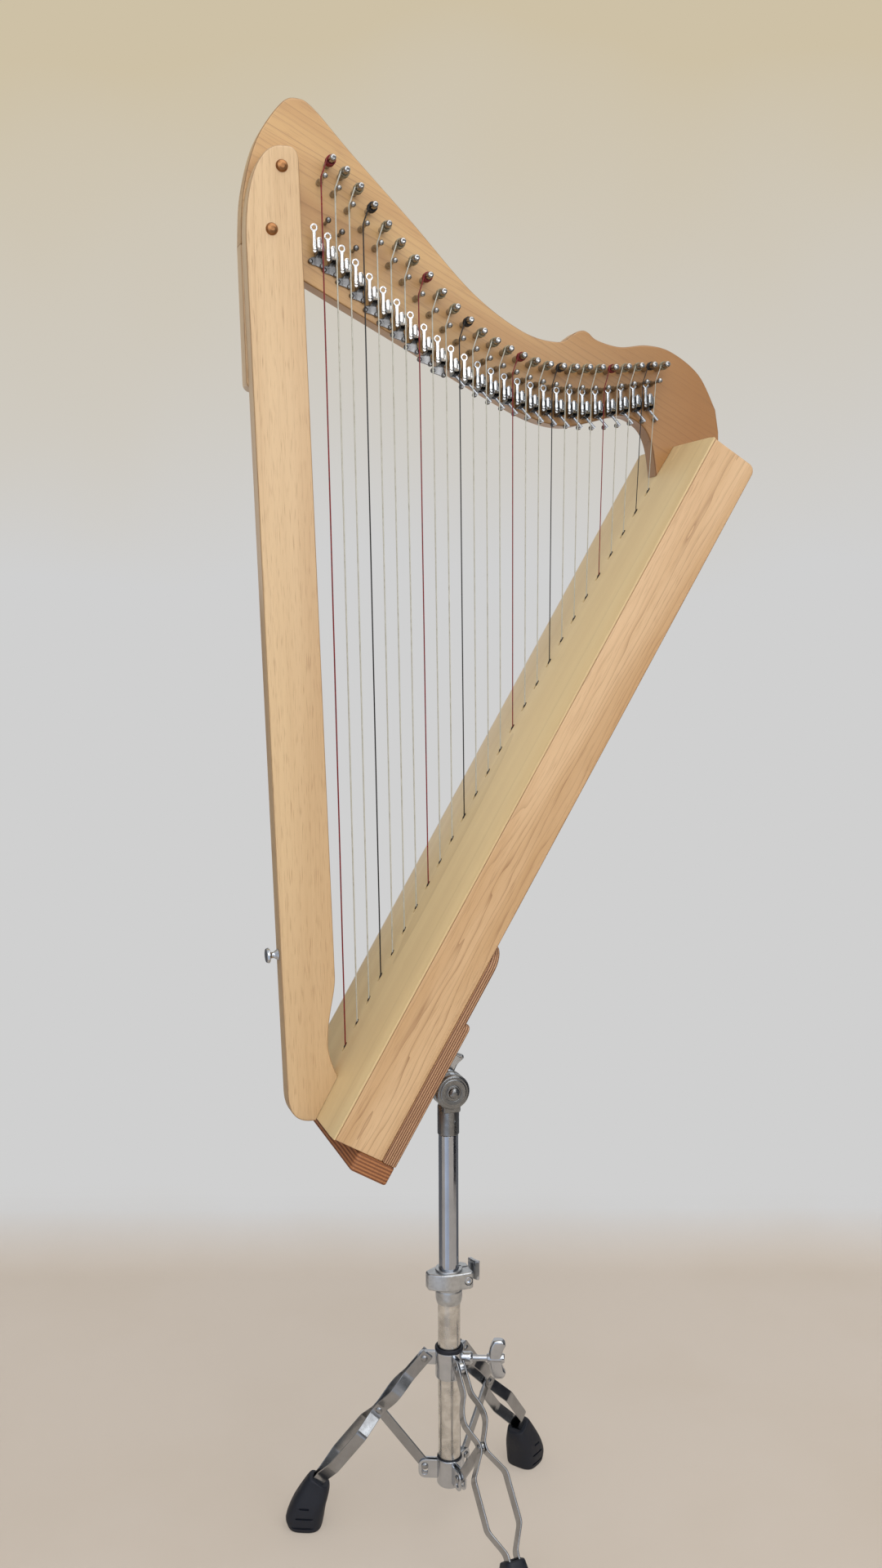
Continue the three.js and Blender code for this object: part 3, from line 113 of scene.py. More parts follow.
# Pins and levers
TUNING_PIN_RADIUS = 3.2
TUNING_PIN_SIDE = 7.5
TUNING_PIN_LENGTH = 26
BRIDGE_PIN_LENGTH = 25
BRIDGE_GROOVE_RADIUS = 1.6
EYE_RISE = 13
LEVER_CLEARANCE = 6.2
BLADE_RISE = 18
BLADE_MIDDLE = -6.1
BLADE_HALF = 1.7
RING_RADIUS = 3.6
FIRST_TREBLE_LEVER = 11

# Stand
HARP_LEAN = math.radians(-1.3)
PIVOT_UP_BOX = 77.9
PIVOT_BEHIND_BOARD = 45.3
PIVOT_DEPTH = MOUNT_BACK + PIVOT_BEHIND_BOARD
STEM_RADIUS = 10.9
UPPER_TUBE_RADIUS = 10
LOWER_TUBE_RADIUS = 11.3
CLAMP_BOTTOM, CLAMP_TOP, CLAMP_SEAT = 262, 281, 270
LEG_PIVOT_RADIUS = 25
LEG_PIVOT_HEIGHT = 186
BRACE_PIVOT_HEIGHT = 71
ARM_LENGTH = 74
LEG_ANGLE = math.asin((LEG_PIVOT_HEIGHT - BRACE_PIVOT_HEIGHT) / 2 / ARM_LENGTH)
LEG_AZIMUTHS = {"front": -83.5, "right": 36.5, "left": 156.5}
HUB_BOLT_AZIMUTH = -21.5

# The photograph's view, from the foot of the strings
IMAGE_HEIGHT = 1920
FOCAL_PIXELS = 1750
EYE_PLACE = (-315.2, -1297.2, 457.1)
EYE_YAW, EYE_PITCH, EYE_ROLL = math.radians(19.047), math.radians(-6.081), math.radians(-0.237)


def tint(red, green, blue):
    """A colour of a picture, 0 to 255, as Blender's linear colour."""
    def channel(value):
        share = value / 255
        return share / 12.92 if share <= 0.04045 else ((share + 0.055) / 1.055) ** 2.4
    return (channel(red), channel(green), channel(blue))


# Frames: the stand stands on the floor, the harp's has its strings along Z, the box's has its axis along Z
def joint_place(name):
    return Vector(next(j["pos_m"] for j in frame["joints"] if j["name"] == name))


TILT_PLACE = joint_place("tilt")
HARP_ORIGIN = TILT_PLACE + Matrix.Rotation(BOX_LEAN + HARP_LEAN, 3, "Y") @ Vector((-PIVOT_DEPTH, 0, -PIVOT_UP_BOX)) * MM
HARP = Matrix.Translation(HARP_ORIGIN) @ Matrix.Rotation(HARP_LEAN, 4, "Y")
BOX = HARP @ Matrix.Rotation(BOX_LEAN, 4, "Y")
STAND = Matrix.Translation((TILT_PLACE.x, TILT_PLACE.y, 0))
TILTER = Matrix.Translation(TILT_PLACE)

# Turns of a flat outline: onto the XZ plane, and onto the plane across the box's depth
UPRIGHT = Matrix(((1, 0, 0, 0), (0, 0, -1, 0), (0, 1, 0, 0), (0, 0, 0, 1)))
FACING_BACK = Matrix(((0, 0, -1, 0), (0, 1, 0, 0), (1, 0, 0, 0), (0, 0, 0, 1)))
# The same, onto the YZ plane
ACROSS = Matrix(((0, 0, 1, 0), (1, 0, 0, 0), (0, 1, 0, 0), (0, 0, 0, 1)))
# Turns of a lathed form: its axis from Z to -Y, to -X and to +X
TO_FRONT = Matrix.Rotation(math.pi / 2, 4, "X")
TO_LEFT = Matrix.Rotation(-math.pi / 2, 4, "Y")
TO_RIGHT = Matrix.Rotation(math.pi / 2, 4, "Y")


def shift(x, y, z):
    return Matrix.Translation(Vector((x, y, z)) * MM)


def turn_about(axis, degrees):
    return Matrix.Rotation(math.radians(degrees), 4, axis)


# Outlines
def arc(cx, cy, radius, start, end, steps=12):
    """Points round a centre, between two angles in degrees."""
    angles = [math.radians(start + (end - start) * i / steps) for i in range(steps + 1)]
    return [(cx + radius * math.cos(a), cy + radius * math.sin(a)) for a in angles]


def bezier(*controls, steps=12):
    """Points on a Bezier curve, without its first."""
    points = []
    for i in range(1, steps + 1):
        t = i / steps
        row = [Vector(c) for c in controls]
        while len(row) > 1:
            row = [a.lerp(b, t) for a, b in zip(row, row[1:])]
        points.append(tuple(row[0]))
    return points


def spline(points, steps=8):
    """Points on a smooth curve through the given ones."""
    last = len(points) - 1
    made = []
    for i in range(last * steps + 1):
        span = min(i // steps, last - 1)
        t = i / steps - span
        p0, p1, p2, p3 = (Vector(points[min(max(span + k, 0), last)]) for k in (-1, 0, 1, 2))
        v0, v1 = (p2 - p0) / 2, (p3 - p1) / 2
        at = (2 * p1 - 2 * p2 + v0 + v1) * t ** 3 + (3 * p2 - 3 * p1 - 2 * v0 - v1) * t ** 2 + v0 * t + p1
        made.append(tuple(at))
    return made


def softened(points, radius, steps=3, closed=False):
    """The same line with its corners rounded."""
    made = []
    count = len(points)
    for i, here in enumerate(points):
        here = Vector(here)
        if not closed and i in (0, count - 1):
            made.append(tuple(here))
            continue
        before, after = Vector(points[i - 1]) - here, Vector(points[(i + 1) % count]) - here
        if before.length < 1e-6 or after.length < 1e-6:
            continue
        start = here + before.normalized() * min(radius, before.length * 0.45)
        end = here + after.normalized() * min(radius, after.length * 0.45)
        made.append(tuple(start))
        made.extend(bezier(start, here, end, steps=steps))
    return made


def rounded_box(x0, x1, y0, y1, radius, steps=6):
    corners = [(x1, y1, 0), (x0, y1, 90), (x0, y0, 180), (x1, y0, 270)]
    points = []
    for x, y, angle in corners:
        cx = x - radius if x == x1 else x + radius
        cy = y - radius if y == y1 else y + radius
        points += arc(cx, cy, radius, angle, angle + 90, steps)
    return points


# Meshes, from millimetres
def smooth(mesh, angle=34):
    mesh.shade_smooth()
    mesh.set_sharp_from_angle(angle=math.radians(angle))
    return mesh


def plate(outline, low, high, edge, holes=(), turn=Matrix.Identity(4)):
    """A flat board with rounded edges, drawn in its own plane between two heights."""
    curve = bpy.data.curves.new("plate", "CURVE")
    curve.dimensions = "2D"
    curve.fill_mode = "BOTH"
    for points in (outline, *holes):
        line = curve.splines.new("POLY")
        line.points.add(len(points) - 1)
        for target, (x, y) in zip(line.points, points):
            target.co = (x * MM, y * MM, 0, 1)
        line.use_cyclic_u = True
    curve.extrude = ((high - low) / 2 - edge) * MM
    curve.bevel_depth = edge * MM
    curve.bevel_resolution = 2
    curve.offset = -edge * MM
    carrier = bpy.data.objects.new("plate", curve)
    mesh = bpy.data.meshes.new_from_object(carrier)
    bpy.data.objects.remove(carrier)
    bpy.data.curves.remove(curve)
    work = bmesh.new()
    work.from_mesh(mesh)
    bmesh.ops.remove_doubles(work, verts=work.verts, dist=1e-6)
    bmesh.ops.recalc_face_normals(work, faces=work.faces)
    work.to_mesh(mesh)
    work.free()
    mesh.transform(turn @ Matrix.Translation((0, 0, (low + high) / 2 * MM)))
    return smooth(mesh)


def panel(outline, y0, y1, edge, holes=()):
    """A board standing in the XZ plane, between two places along Y."""
    return plate(outline, -y1, -y0, edge, holes, UPRIGHT)


def lathed(profile, sides=40, turn=Matrix.Identity(4), closed=False, angle=34):
    """A turned form, from pairs of radius and height."""
    work = bmesh.new()
    rings = []
    for radius, height in profile:
        count = sides if radius > 1e-6 else 1
        rings.append([
            work.verts.new((
                radius * math.cos(2 * math.pi * i / sides) * MM,
                radius * math.sin(2 * math.pi * i / sides) * MM,
                height * MM,
            ))
            for i in range(count)
        ])
    if closed:
        rings.append(rings[0])
    for low, high in zip(rings, rings[1:]):
        for i in range(max(len(low), len(high))):
            j = (i + 1) % sides
            corners = [low[i % len(low)], low[j % len(low)], high[j % len(high)], high[i % len(high)]]
            corners = list(dict.fromkeys(corners))
            if len(corners) > 2:
                work.faces.new(corners)
    bmesh.ops.recalc_face_normals(work, faces=work.faces)
    mesh = bpy.data.meshes.new("lathed")
    work.to_mesh(mesh)
    work.free()
    mesh.transform(turn)
    return smooth(mesh, angle)


def wires(lines, sides=10):
    """Round wires through points, each given as its points and its radius."""
    curve = bpy.data.curves.new("wires", "CURVE")
    curve.dimensions = "3D"
    curve.bevel_depth = MM
    curve.bevel_resolution = max(sides // 2 - 2, 0)
    curve.use_fill_caps = True
    for points, radius in lines:
        line = curve.splines.new("POLY")
        line.points.add(len(points) - 1)
        for target, at in zip(line.points, points):
            target.co = (at[0] * MM, at[1] * MM, at[2] * MM, 1)
            target.radius = radius
    carrier = bpy.data.objects.new("wires", curve)
    mesh = bpy.data.meshes.new_from_object(carrier)
    bpy.data.objects.remove(carrier)
    bpy.data.curves.remove(curve)
    return smooth(mesh, 50)


def grid(corner_rows, closed=False):
    """A surface through rows of points."""
    work = bmesh.new()
    rows = [[work.verts.new(Vector(p) * MM) for p in row] for row in corner_rows]
    for low, high in zip(rows, rows[1:]):
        span = len(low) if closed else len(low) - 1
        for i in range(span):
            j = (i + 1) % len(low)
            work.faces.new((low[i], low[j], high[j], high[i]))
    if closed:
        work.faces.new(rows[0])
        work.faces.new(rows[-1])
    bmesh.ops.recalc_face_normals(work, faces=work.faces)
    mesh = bpy.data.meshes.new("grid")
    work.to_mesh(mesh)
    work.free()
    return smooth(mesh)


def joined(*meshes):
    """Several meshes, or pairs of a mesh and its place, as one mesh."""
    work = bmesh.new()
    for entry in meshes:
        mesh, place = entry if isinstance(entry, tuple) else (entry, None)
        if place is not None:
            mesh = mesh.copy()
            mesh.transform(place)
        work.from_mesh(mesh)
    made = bpy.data.meshes.new("joined")
    work.to_mesh(made)
    work.free()
    return smooth(made)


def moved(mesh, place):
    copy = mesh.copy()
    copy.transform(place)
    return copy


def trimmed(mesh, *cutters, crossed=False):
    """The mesh with the cutters taken out. Crossed is for a mesh that passes through itself."""
    body = bpy.data.objects.new("trimmed", mesh)
    bpy.context.scene.collection.objects.link(body)
    tools = []
    for cutter in cutters:
        tool = bpy.data.objects.new("cutter", cutter)
        bpy.context.scene.collection.objects.link(tool)
        change = body.modifiers.new("Cut", "BOOLEAN")
        change.operation = "DIFFERENCE"
        change.solver = "EXACT"
        change.use_self = crossed
        change.object = tool
        tools.append(tool)
    bpy.context.view_layer.update()
    depsgraph = bpy.context.evaluated_depsgraph_get()
    made = bpy.data.meshes.new_from_object(body.evaluated_get(depsgraph))
    for thing in (body, *tools):
        bpy.data.objects.remove(thing)
    return smooth(made)


def piece(name, mesh, place, body, material, slot, *nodes):
    """One piece of the harp, riding on its body and standing for its CAD nodes. Its mesh takes the place's turn."""
    mesh = moved(mesh, place.to_3x3().to_4x4())
    made = bpy.data.objects.new(name, mesh)
    bpy.context.scene.collection.objects.link(made)
    made.location = place.translation
    if not mesh.materials:
        mesh.materials.append(material)
    normals = made.modifiers.new("Even normals", "WEIGHTED_NORMAL")
    normals.keep_sharp = True
    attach(made, body)
    if nodes:
        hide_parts(*nodes)
    return made


# Shader helpers
def put(tree, kind, inputs=None, **settings):
    """Adds a node, sets its settings, and sets or links its inputs."""
    made = tree.nodes.new(kind)
    for key, value in settings.items():
        setattr(made, key, value)
    for key, value in (inputs or {}).items():
        if isinstance(value, bpy.types.NodeSocket):
            tree.links.new(value, made.inputs[key])
        else:
            made.inputs[key].default_value = value
    return made


def math_of(tree, operation, a, b=0.0):
    return put(tree, "ShaderNodeMath", {0: a, 1: b}, operation=operation).outputs[0]


def mixed(tree, factor, a, b, blend="MIX"):
    made = put(tree, "ShaderNodeMix", data_type="RGBA", blend_type=blend)
    for index, value in ((0, factor), (6, a), (7, b)):
        if isinstance(value, bpy.types.NodeSocket):
            tree.links.new(value, made.inputs[index])
        else:
            made.inputs[index].default_value = (*value, 1) if index else value
    return made.outputs[2]


def ranged(tree, value, low, high, to_low=0.0, to_high=1.0):
    inputs = {0: value, 1: low, 2: high, 3: to_low, 4: to_high}
    return put(tree, "ShaderNodeMapRange", inputs).outputs[0]


def new_group(name, inputs, outputs):
    tree = bpy.data.node_groups.new(name, "ShaderNodeTree")
    for label, kind, default in inputs:
        socket = tree.interface.new_socket(name=label, in_out="INPUT", socket_type=kind)
        socket.default_value = default
    for label in outputs:
        tree.interface.new_socket(name=label, in_out="OUTPUT", socket_type="NodeSocketFloat")
    return tree, tree.nodes.new("NodeGroupInput").outputs, tree.nodes.new("NodeGroupOutput").inputs


def wood_grain_group():
    """Growth rings cut by the board, pores along the grain, and a soft mottle. The grain runs along Z."""
    name = "Wood Grain"
    if name in bpy.data.node_groups:
        return bpy.data.node_groups[name]
    tree, given, out = new_group(name, [
        ("Vector", "NodeSocketVector", (0, 0, 0)),
        ("Ring Spacing", "NodeSocketFloat", 0.006),
        ("Stretch", "NodeSocketFloat", 0.06),
        ("Waviness", "NodeSocketFloat", 0.01),
        ("Sharpness", "NodeSocketFloat", 4.0),
        ("Wave Scale", "NodeSocketFloat", 20.0),
        ("Knot", "NodeSocketVector", (9, 9, 9)),
        ("Knot Size", "NodeSocketFloat", 0.02),
        ("Knot Depth", "NodeSocketFloat", 0.0),
    ], ("Rings", "Pores", "Mottle", "Knot Mask"))
    flat = put(tree, "ShaderNodeCombineXYZ", {0: 1.0, 1: 1.0, 2: given["Stretch"]}).outputs[0]
    along = put(tree, "ShaderNodeVectorMath", {0: given["Vector"], 1: flat}, operation="MULTIPLY").outputs[0]
    broad = put(tree, "ShaderNodeTexNoise", {
        "Vector": along, "Scale": given["Wave Scale"], "Detail": 3.0, "Roughness": 0.45,
    })
    centred = put(tree, "ShaderNodeVectorMath", {0: broad.outputs["Color"], 1: (0.5, 0.5, 0.5)}, operation="SUBTRACT")
    swing = put(tree, "ShaderNodeVectorMath", {0: centred.outputs[0], "Scale": given["Waviness"]}, operation="SCALE")
    bent = put(tree, "ShaderNodeVectorMath", {0: along, 1: swing.outputs[0]}, operation="ADD").outputs[0]
    across = put(tree, "ShaderNodeVectorMath", {0: bent, 1: (1, 1, 0)}, operation="MULTIPLY").outputs[0]
    depth = put(tree, "ShaderNodeVectorMath", {0: across}, operation="LENGTH").outputs["Value"]
    to_knot = put(tree, "ShaderNodeVectorMath", {0: given["Vector"], 1: given["Knot"]}, operation="SUBTRACT").outputs[0]
    long_knot = put(tree, "ShaderNodeVectorMath", {0: to_knot, 1: (1, 0.2, 0.45)}, operation="MULTIPLY").outputs[0]
    reach = put(tree, "ShaderNodeVectorMath", {0: long_knot}, operation="LENGTH").outputs["Value"]
    share = math_of(tree, "DIVIDE", reach, given["Knot Size"])
    fall = math_of(tree, "EXPONENT", math_of(tree, "MULTIPLY", math_of(tree, "POWER", share, 2.0), -1.0))
    depth = math_of(tree, "ADD", depth, math_of(tree, "MULTIPLY", fall, given["Knot Depth"]))
    ring = math_of(tree, "DIVIDE", depth, given["Ring Spacing"])
    late = math_of(tree, "POWER", math_of(tree, "FRACT", ring), given["Sharpness"])
    own_ring = math_of(tree, "FLOOR", ring)
    each = put(tree, "ShaderNodeTexWhiteNoise", {"W": own_ring}, noise_dimensions="1D").outputs["Value"]
    fading = put(tree, "ShaderNodeTexNoise", {"Vector": along, "Scale": 14.0, "Detail": 2.0}).outputs["Fac"]
    seen = math_of(tree, "MULTIPLY", ranged(tree, each, 0.0, 1.0, 0.3, 1.0), ranged(tree, fading, 0.4, 0.6, 0.25, 1.0))
    tree.links.new(math_of(tree, "MULTIPLY", late, seen), out["Rings"])
    thin = put(tree, "ShaderNodeVectorMath", {0: given["Vector"], 1: (1, 1, 0.035)}, operation="MULTIPLY").outputs[0]
    pores = put(tree, "ShaderNodeTexNoise", {"Vector": thin, "Scale": 1300.0, "Detail": 2.0}).outputs["Fac"]
    tree.links.new(ranged(tree, pores, 0.56, 0.74), out["Pores"])
    mottle = put(tree, "ShaderNodeTexNoise", {"Vector": along, "Scale": 34.0, "Detail": 4.0}).outputs["Fac"]
    tree.links.new(ranged(tree, mottle, 0.3, 0.7), out["Mottle"])
    tree.links.new(fall, out["Knot Mask"])
    return tree


def metal_wear_group():
    """Handling marks on plated metal: soft smudges and fine scratches."""
    name = "Handling Marks"
    if name in bpy.data.node_groups:
        return bpy.data.node_groups[name]
    tree, given, out = new_group(name, [
        ("Vector", "NodeSocketVector", (0, 0, 0)),
        ("Smudge Scale", "NodeSocketFloat", 60.0),
        ("Scratch Scale", "NodeSocketFloat", 900.0),
    ], ("Smudges", "Scratches"))
    smudge = put(tree, "ShaderNodeTexNoise", {
        "Vector": given["Vector"], "Scale": given["Smudge Scale"], "Detail": 5.0, "Roughness": 0.6,
    }).outputs["Fac"]
    tree.links.new(ranged(tree, smudge, 0.38, 0.68), out["Smudges"])
    long = put(tree, "ShaderNodeVectorMath", {0: given["Vector"], 1: (1, 1, 0.05)}, operation="MULTIPLY").outputs[0]
    scratch = put(tree, "ShaderNodeTexNoise", {
        "Vector": long, "Scale": given["Scratch Scale"], "Detail": 3.0,
    }).outputs["Fac"]
    tree.links.new(ranged(tree, scratch, 0.62, 0.8), out["Scratches"])
    return tree


def edge_line_group():
    """The darker line on a board's rounded edges, from how far the surface turns from the board's face."""
    name = "Edge Line"
    if name in bpy.data.node_groups:
        return bpy.data.node_groups[name]
    tree, given, out = new_group(name, [
        ("Normal", "NodeSocketVector", (0, 0, 1)),
        ("Face", "NodeSocketVector", (0, 1, 0)),
    ], ("Line",))
    lean = put(tree, "ShaderNodeVectorMath", {
        0: given["Normal"], 1: given["Face"],
    }, operation="DOT_PRODUCT").outputs["Value"]
    size = math_of(tree, "ABSOLUTE", lean)
    rise = ranged(tree, size, 0.12, 0.45)
    drop = ranged(tree, size, 0.75, 0.97, 1.0, 0.0)
    tree.links.new(math_of(tree, "MULTIPLY", rise, drop), out["Line"])
    return tree


def blank_material(name):
    made = bpy.data.materials.new(name)
    made.use_nodes = True
    tree = made.node_tree
    shader = tree.nodes["Principled BSDF"]
    place = tree.nodes.new("ShaderNodeTexCoord").outputs
    return made, tree, shader, place


def group_node(tree, group, inputs):
    made = tree.nodes.new("ShaderNodeGroup")
    made.node_tree = group
    for key, value in inputs.items():
        if isinstance(value, bpy.types.NodeSocket):
            tree.links.new(value, made.inputs[key])
        else:
            made.inputs[key].default_value = value
    return made.outputs


def wood(
    name, light, dark, line, spacing, stretch=0.06, waviness=0.01, sharpness=4.0, ring_strength=0.6,
    pore_strength=0.3, turn=(0, 0, 0), offset=(0, 0, 0), face=(0, 1, 0), edge=None, edge_strength=0.5,
    knot=(9000, 9000, 9000), knot_size=20, knot_depth=0, knot_strength=0.0, roughness=0.36, wave_scale=20.0,
    frame_turn=HARP, falloff_shade=None,
):
    """A board's wood, its grain along Z of the board's own frame. Offsets and the knot are in millimetres."""
    if name in bpy.data.materials:
        return bpy.data.materials[name]
    made, tree, shader, place = blank_material(name)
    own = put(tree, "ShaderNodeMapping", {
        "Vector": place["Object"], "Rotation": frame_turn.to_euler(),
    }, vector_type="TEXTURE")
    laid = put(tree, "ShaderNodeMapping", {
        "Vector": own.outputs[0], "Rotation": tuple(math.radians(a) for a in turn),
        "Location": tuple(a * MM for a in offset),
    }).outputs[0]
    grain = group_node(tree, wood_grain_group(), {
        "Vector": laid, "Ring Spacing": spacing * MM, "Stretch": stretch, "Waviness": waviness,
        "Sharpness": sharpness, "Knot": tuple(a * MM for a in knot), "Knot Size": knot_size * MM,
        "Knot Depth": knot_depth * MM, "Wave Scale": wave_scale,
    })
    colour = mixed(tree, grain["Mottle"], light, dark)
    # falloff_shade: painted shade, the colour darkening along X towards the far end for the light's falloff
    if falloff_shade:
        along = put(tree, "ShaderNodeSeparateXYZ", {0: own.outputs[0]}).outputs["X"]
        colour = mixed(tree, ranged(tree, along, 0.12, 0.42), colour, falloff_shade)
    colour = mixed(tree, math_of(tree, "MULTIPLY", grain["Rings"], ring_strength), colour, line)
    colour = mixed(tree, math_of(tree, "MULTIPLY", grain["Pores"], pore_strength), colour, line)
    if knot_strength:
        colour = mixed(tree, math_of(tree, "MULTIPLY", grain["Knot Mask"], knot_strength), colour, line)
    if edge:
        front = tuple(frame_turn.to_3x3() @ Vector(face))
        band = group_node(tree, edge_line_group(), {"Normal": place["Normal"], "Face": front})["Line"]
        colour = mixed(tree, math_of(tree, "MULTIPLY", band, edge_strength), colour, edge)
    tree.links.new(colour, shader.inputs["Base Color"])
    tree.links.new(ranged(tree, grain["Mottle"], 0.0, 1.0, roughness, roughness + 0.12), shader.inputs["Roughness"])
    relief = math_of(tree, "ADD", math_of(tree, "MULTIPLY", grain["Rings"], 0.4), grain["Pores"])
    bump = put(tree, "ShaderNodeBump", {"Strength": 0.25, "Distance": 0.0002, "Height": relief})
    tree.links.new(bump.outputs[0], shader.inputs["Normal"])
    shader.inputs["Coat Weight"].default_value = 0.5
    shader.inputs["Coat Roughness"].default_value = 0.3
    shader.inputs["Specular IOR Level"].default_value = 0.4
    return made


def plywood(name, light, dark, layer, axis, edge_strength=0.5):
    """Plywood seen on its edges: layers across one axis, and a face veneer along the other two."""
    if name in bpy.data.materials:
        return bpy.data.materials[name]
    made, tree, shader, place = blank_material(name)
    own = put(tree, "ShaderNodeMapping", {
        "Vector": place["Object"], "Rotation": BOX.to_euler(),
    }, vector_type="TEXTURE").outputs[0]
    grain = group_node(tree, wood_grain_group(), {
        "Vector": own, "Ring Spacing": 0.009, "Stretch": 0.05, "Waviness": 0.02, "Sharpness": 3.0,
    })
    wobble = put(tree, "ShaderNodeTexNoise", {"Vector": own, "Scale": 30.0, "Detail": 2.0}).outputs["Fac"]
    depth = put(tree, "ShaderNodeSeparateXYZ", {0: own}).outputs[axis]
    push = math_of(tree, "MULTIPLY", math_of(tree, "SUBTRACT", wobble, 0.5), layer * 0.25 * MM)
    pushed = math_of(tree, "ADD", depth, push)
    share = math_of(tree, "FRACT", math_of(tree, "DIVIDE", pushed, 2 * layer * MM))
    wave = math_of(tree, "PINGPONG", share, 0.5)
    dark_layer = ranged(tree, wave, 0.2, 0.3)
    turned = put(tree, "ShaderNodeVectorRotate", {
        "Vector": place["Normal"], "Rotation": BOX.to_euler(),
    }, rotation_type="EULER_XYZ", invert=True).outputs[0]
    facing = put(tree, "ShaderNodeSeparateXYZ", {0: turned}).outputs[axis]
    on_edge = ranged(tree, math_of(tree, "ABSOLUTE", facing), 0.6, 0.9, 1.0, 0.0)
    colour = mixed(tree, grain["Mottle"], light, tuple(c * 0.82 for c in light))
    colour = mixed(tree, math_of(tree, "MULTIPLY", dark_layer, on_edge), colour, dark)
    colour = mixed(tree, math_of(tree, "MULTIPLY", grain["Pores"], edge_strength), colour, dark)
    tree.links.new(colour, shader.inputs["Base Color"])
    tree.links.new(ranged(tree, grain["Mottle"], 0.0, 1.0, 0.45, 0.6), shader.inputs["Roughness"])
    bump = put(tree, "ShaderNodeBump", {
        "Strength": 0.4, "Distance": 0.0003, "Height": math_of(tree, "ADD", dark_layer, grain["Pores"]),
    })
    tree.links.new(bump.outputs[0], shader.inputs["Normal"])
    return made


def metal(name, colour, dull, roughness, smudge, relief=0.1, smudge_scale=60.0, scratch_scale=900.0):
    """Plated or cast metal with handling marks."""
    if name in bpy.data.materials:
        return bpy.data.materials[name]
    made, tree, shader, place = blank_material(name)
    marks = group_node(tree, metal_wear_group(), {
        "Vector": place["Object"], "Smudge Scale": smudge_scale, "Scratch Scale": scratch_scale,
    })
    worn = math_of(tree, "MAXIMUM", math_of(tree, "MULTIPLY", marks["Smudges"], 0.7), marks["Scratches"])
    tree.links.new(mixed(tree, math_of(tree, "MULTIPLY", worn, smudge), colour, dull), shader.inputs["Base Color"])
    tree.links.new(ranged(tree, worn, 0.0, 1.0, roughness, roughness + 0.16), shader.inputs["Roughness"])
    bump = put(tree, "ShaderNodeBump", {"Strength": relief, "Distance": 0.0001, "Height": worn})
    tree.links.new(bump.outputs[0], shader.inputs["Normal"])
    shader.inputs["Metallic"].default_value = 1.0
    return made


def plain(name, colour, worn_colour, roughness, scale, relief):
    """Rubber, or a dark shade, with a fine mottle."""
    if name in bpy.data.materials:
        return bpy.data.materials[name]
    made, tree, shader, place = blank_material(name)
    noise = put(tree, "ShaderNodeTexNoise", {"Vector": place["Object"], "Scale": scale, "Detail": 4.0}).outputs["Fac"]
    tree.links.new(mixed(tree, ranged(tree, noise, 0.4, 0.7), colour, worn_colour), shader.inputs["Base Color"])
    tree.links.new(ranged(tree, noise, 0.3, 0.7, roughness, roughness + 0.15), shader.inputs["Roughness"])
    bump = put(tree, "ShaderNodeBump", {"Strength": relief, "Distance": 0.0002, "Height": noise})
    tree.links.new(bump.outputs[0], shader.inputs["Normal"])
    return made


# What a user would change
class HarpWoodSettings(bpy.types.PropertyGroup):
    maple: FloatVectorProperty(
        name="Maple", description="Colour of the box's sides", subtype="COLOR", size=3, default=tint(221, 187, 146))
    maple_line: FloatVectorProperty(
        name="Maple Line", description="Colour of the maple's growth lines", subtype="COLOR", size=3,
        default=tint(132, 86, 48))
    pillar: FloatVectorProperty(
        name="Pillar", description="Colour of the pillar", subtype="COLOR", size=3, default=tint(216, 186, 144))
    neck: FloatVectorProperty(
        name="Neck", description="Colour of the neck", subtype="COLOR", size=3, default=tint(205, 167, 114))
    soundboard: FloatVectorProperty(
        name="Soundboard", description="Colour of the soundboard", subtype="COLOR", size=3,
        default=tint(224, 200, 152))
    plywood: FloatVectorProperty(
        name="Plywood", description="Colour of the plywood's light layers", subtype="COLOR", size=3,
        default=tint(200, 156, 118))
    edge_rounding: FloatProperty(
        name="Edge Rounding", description="Radius of the wooden boards' edges", default=0.0016, min=0.0003,
        max=0.003, unit="LENGTH")


class HarpMetalSettings(bpy.types.PropertyGroup):
    nickel: FloatVectorProperty(
        name="Nickel", description="Colour of the levers, hubs and legs", subtype="COLOR", size=3,
        default=tint(198, 202, 208))
    chrome: FloatVectorProperty(
        name="Chrome", description="Colour of the tubes", subtype="COLOR", size=3,
        default=tint(186, 191, 200))
    cast: FloatVectorProperty(
        name="Cast Metal", description="Colour of the tilter and the clamp", subtype="COLOR", size=3,
        default=tint(200, 203, 206))
    copper: FloatVectorProperty(
        name="Copper", description="Colour of the pillar's screws", subtype="COLOR", size=3,
        default=tint(158, 114, 76))
    chrome_roughness: FloatProperty(
        name="Chrome Roughness", description="How dull the tubes are", default=0.1, min=0.02, max=0.6,
        subtype="FACTOR")


class HarpStringSettings(bpy.types.PropertyGroup):
    red: FloatVectorProperty(
        name="Red", description="Colour of the first string of each octave", subtype="COLOR", size=3,
        default=tint(128, 12, 18))
    black: FloatVectorProperty(
        name="Black", description="Colour of the fourth string of each octave", subtype="COLOR", size=3,
        default=tint(18, 16, 18))
    clear: FloatVectorProperty(
        name="Clear", description="Colour of the other strings", subtype="COLOR", size=3,
        default=tint(190, 190, 180))
    winding_turns: FloatProperty(
        name="Winding Turns", description="Turns of each string on its tuning pin", default=5.0, min=2.0, max=8.0)
    octave: IntProperty(
        name="Octave", description="Strings in one octave", default=7, min=5, max=12)


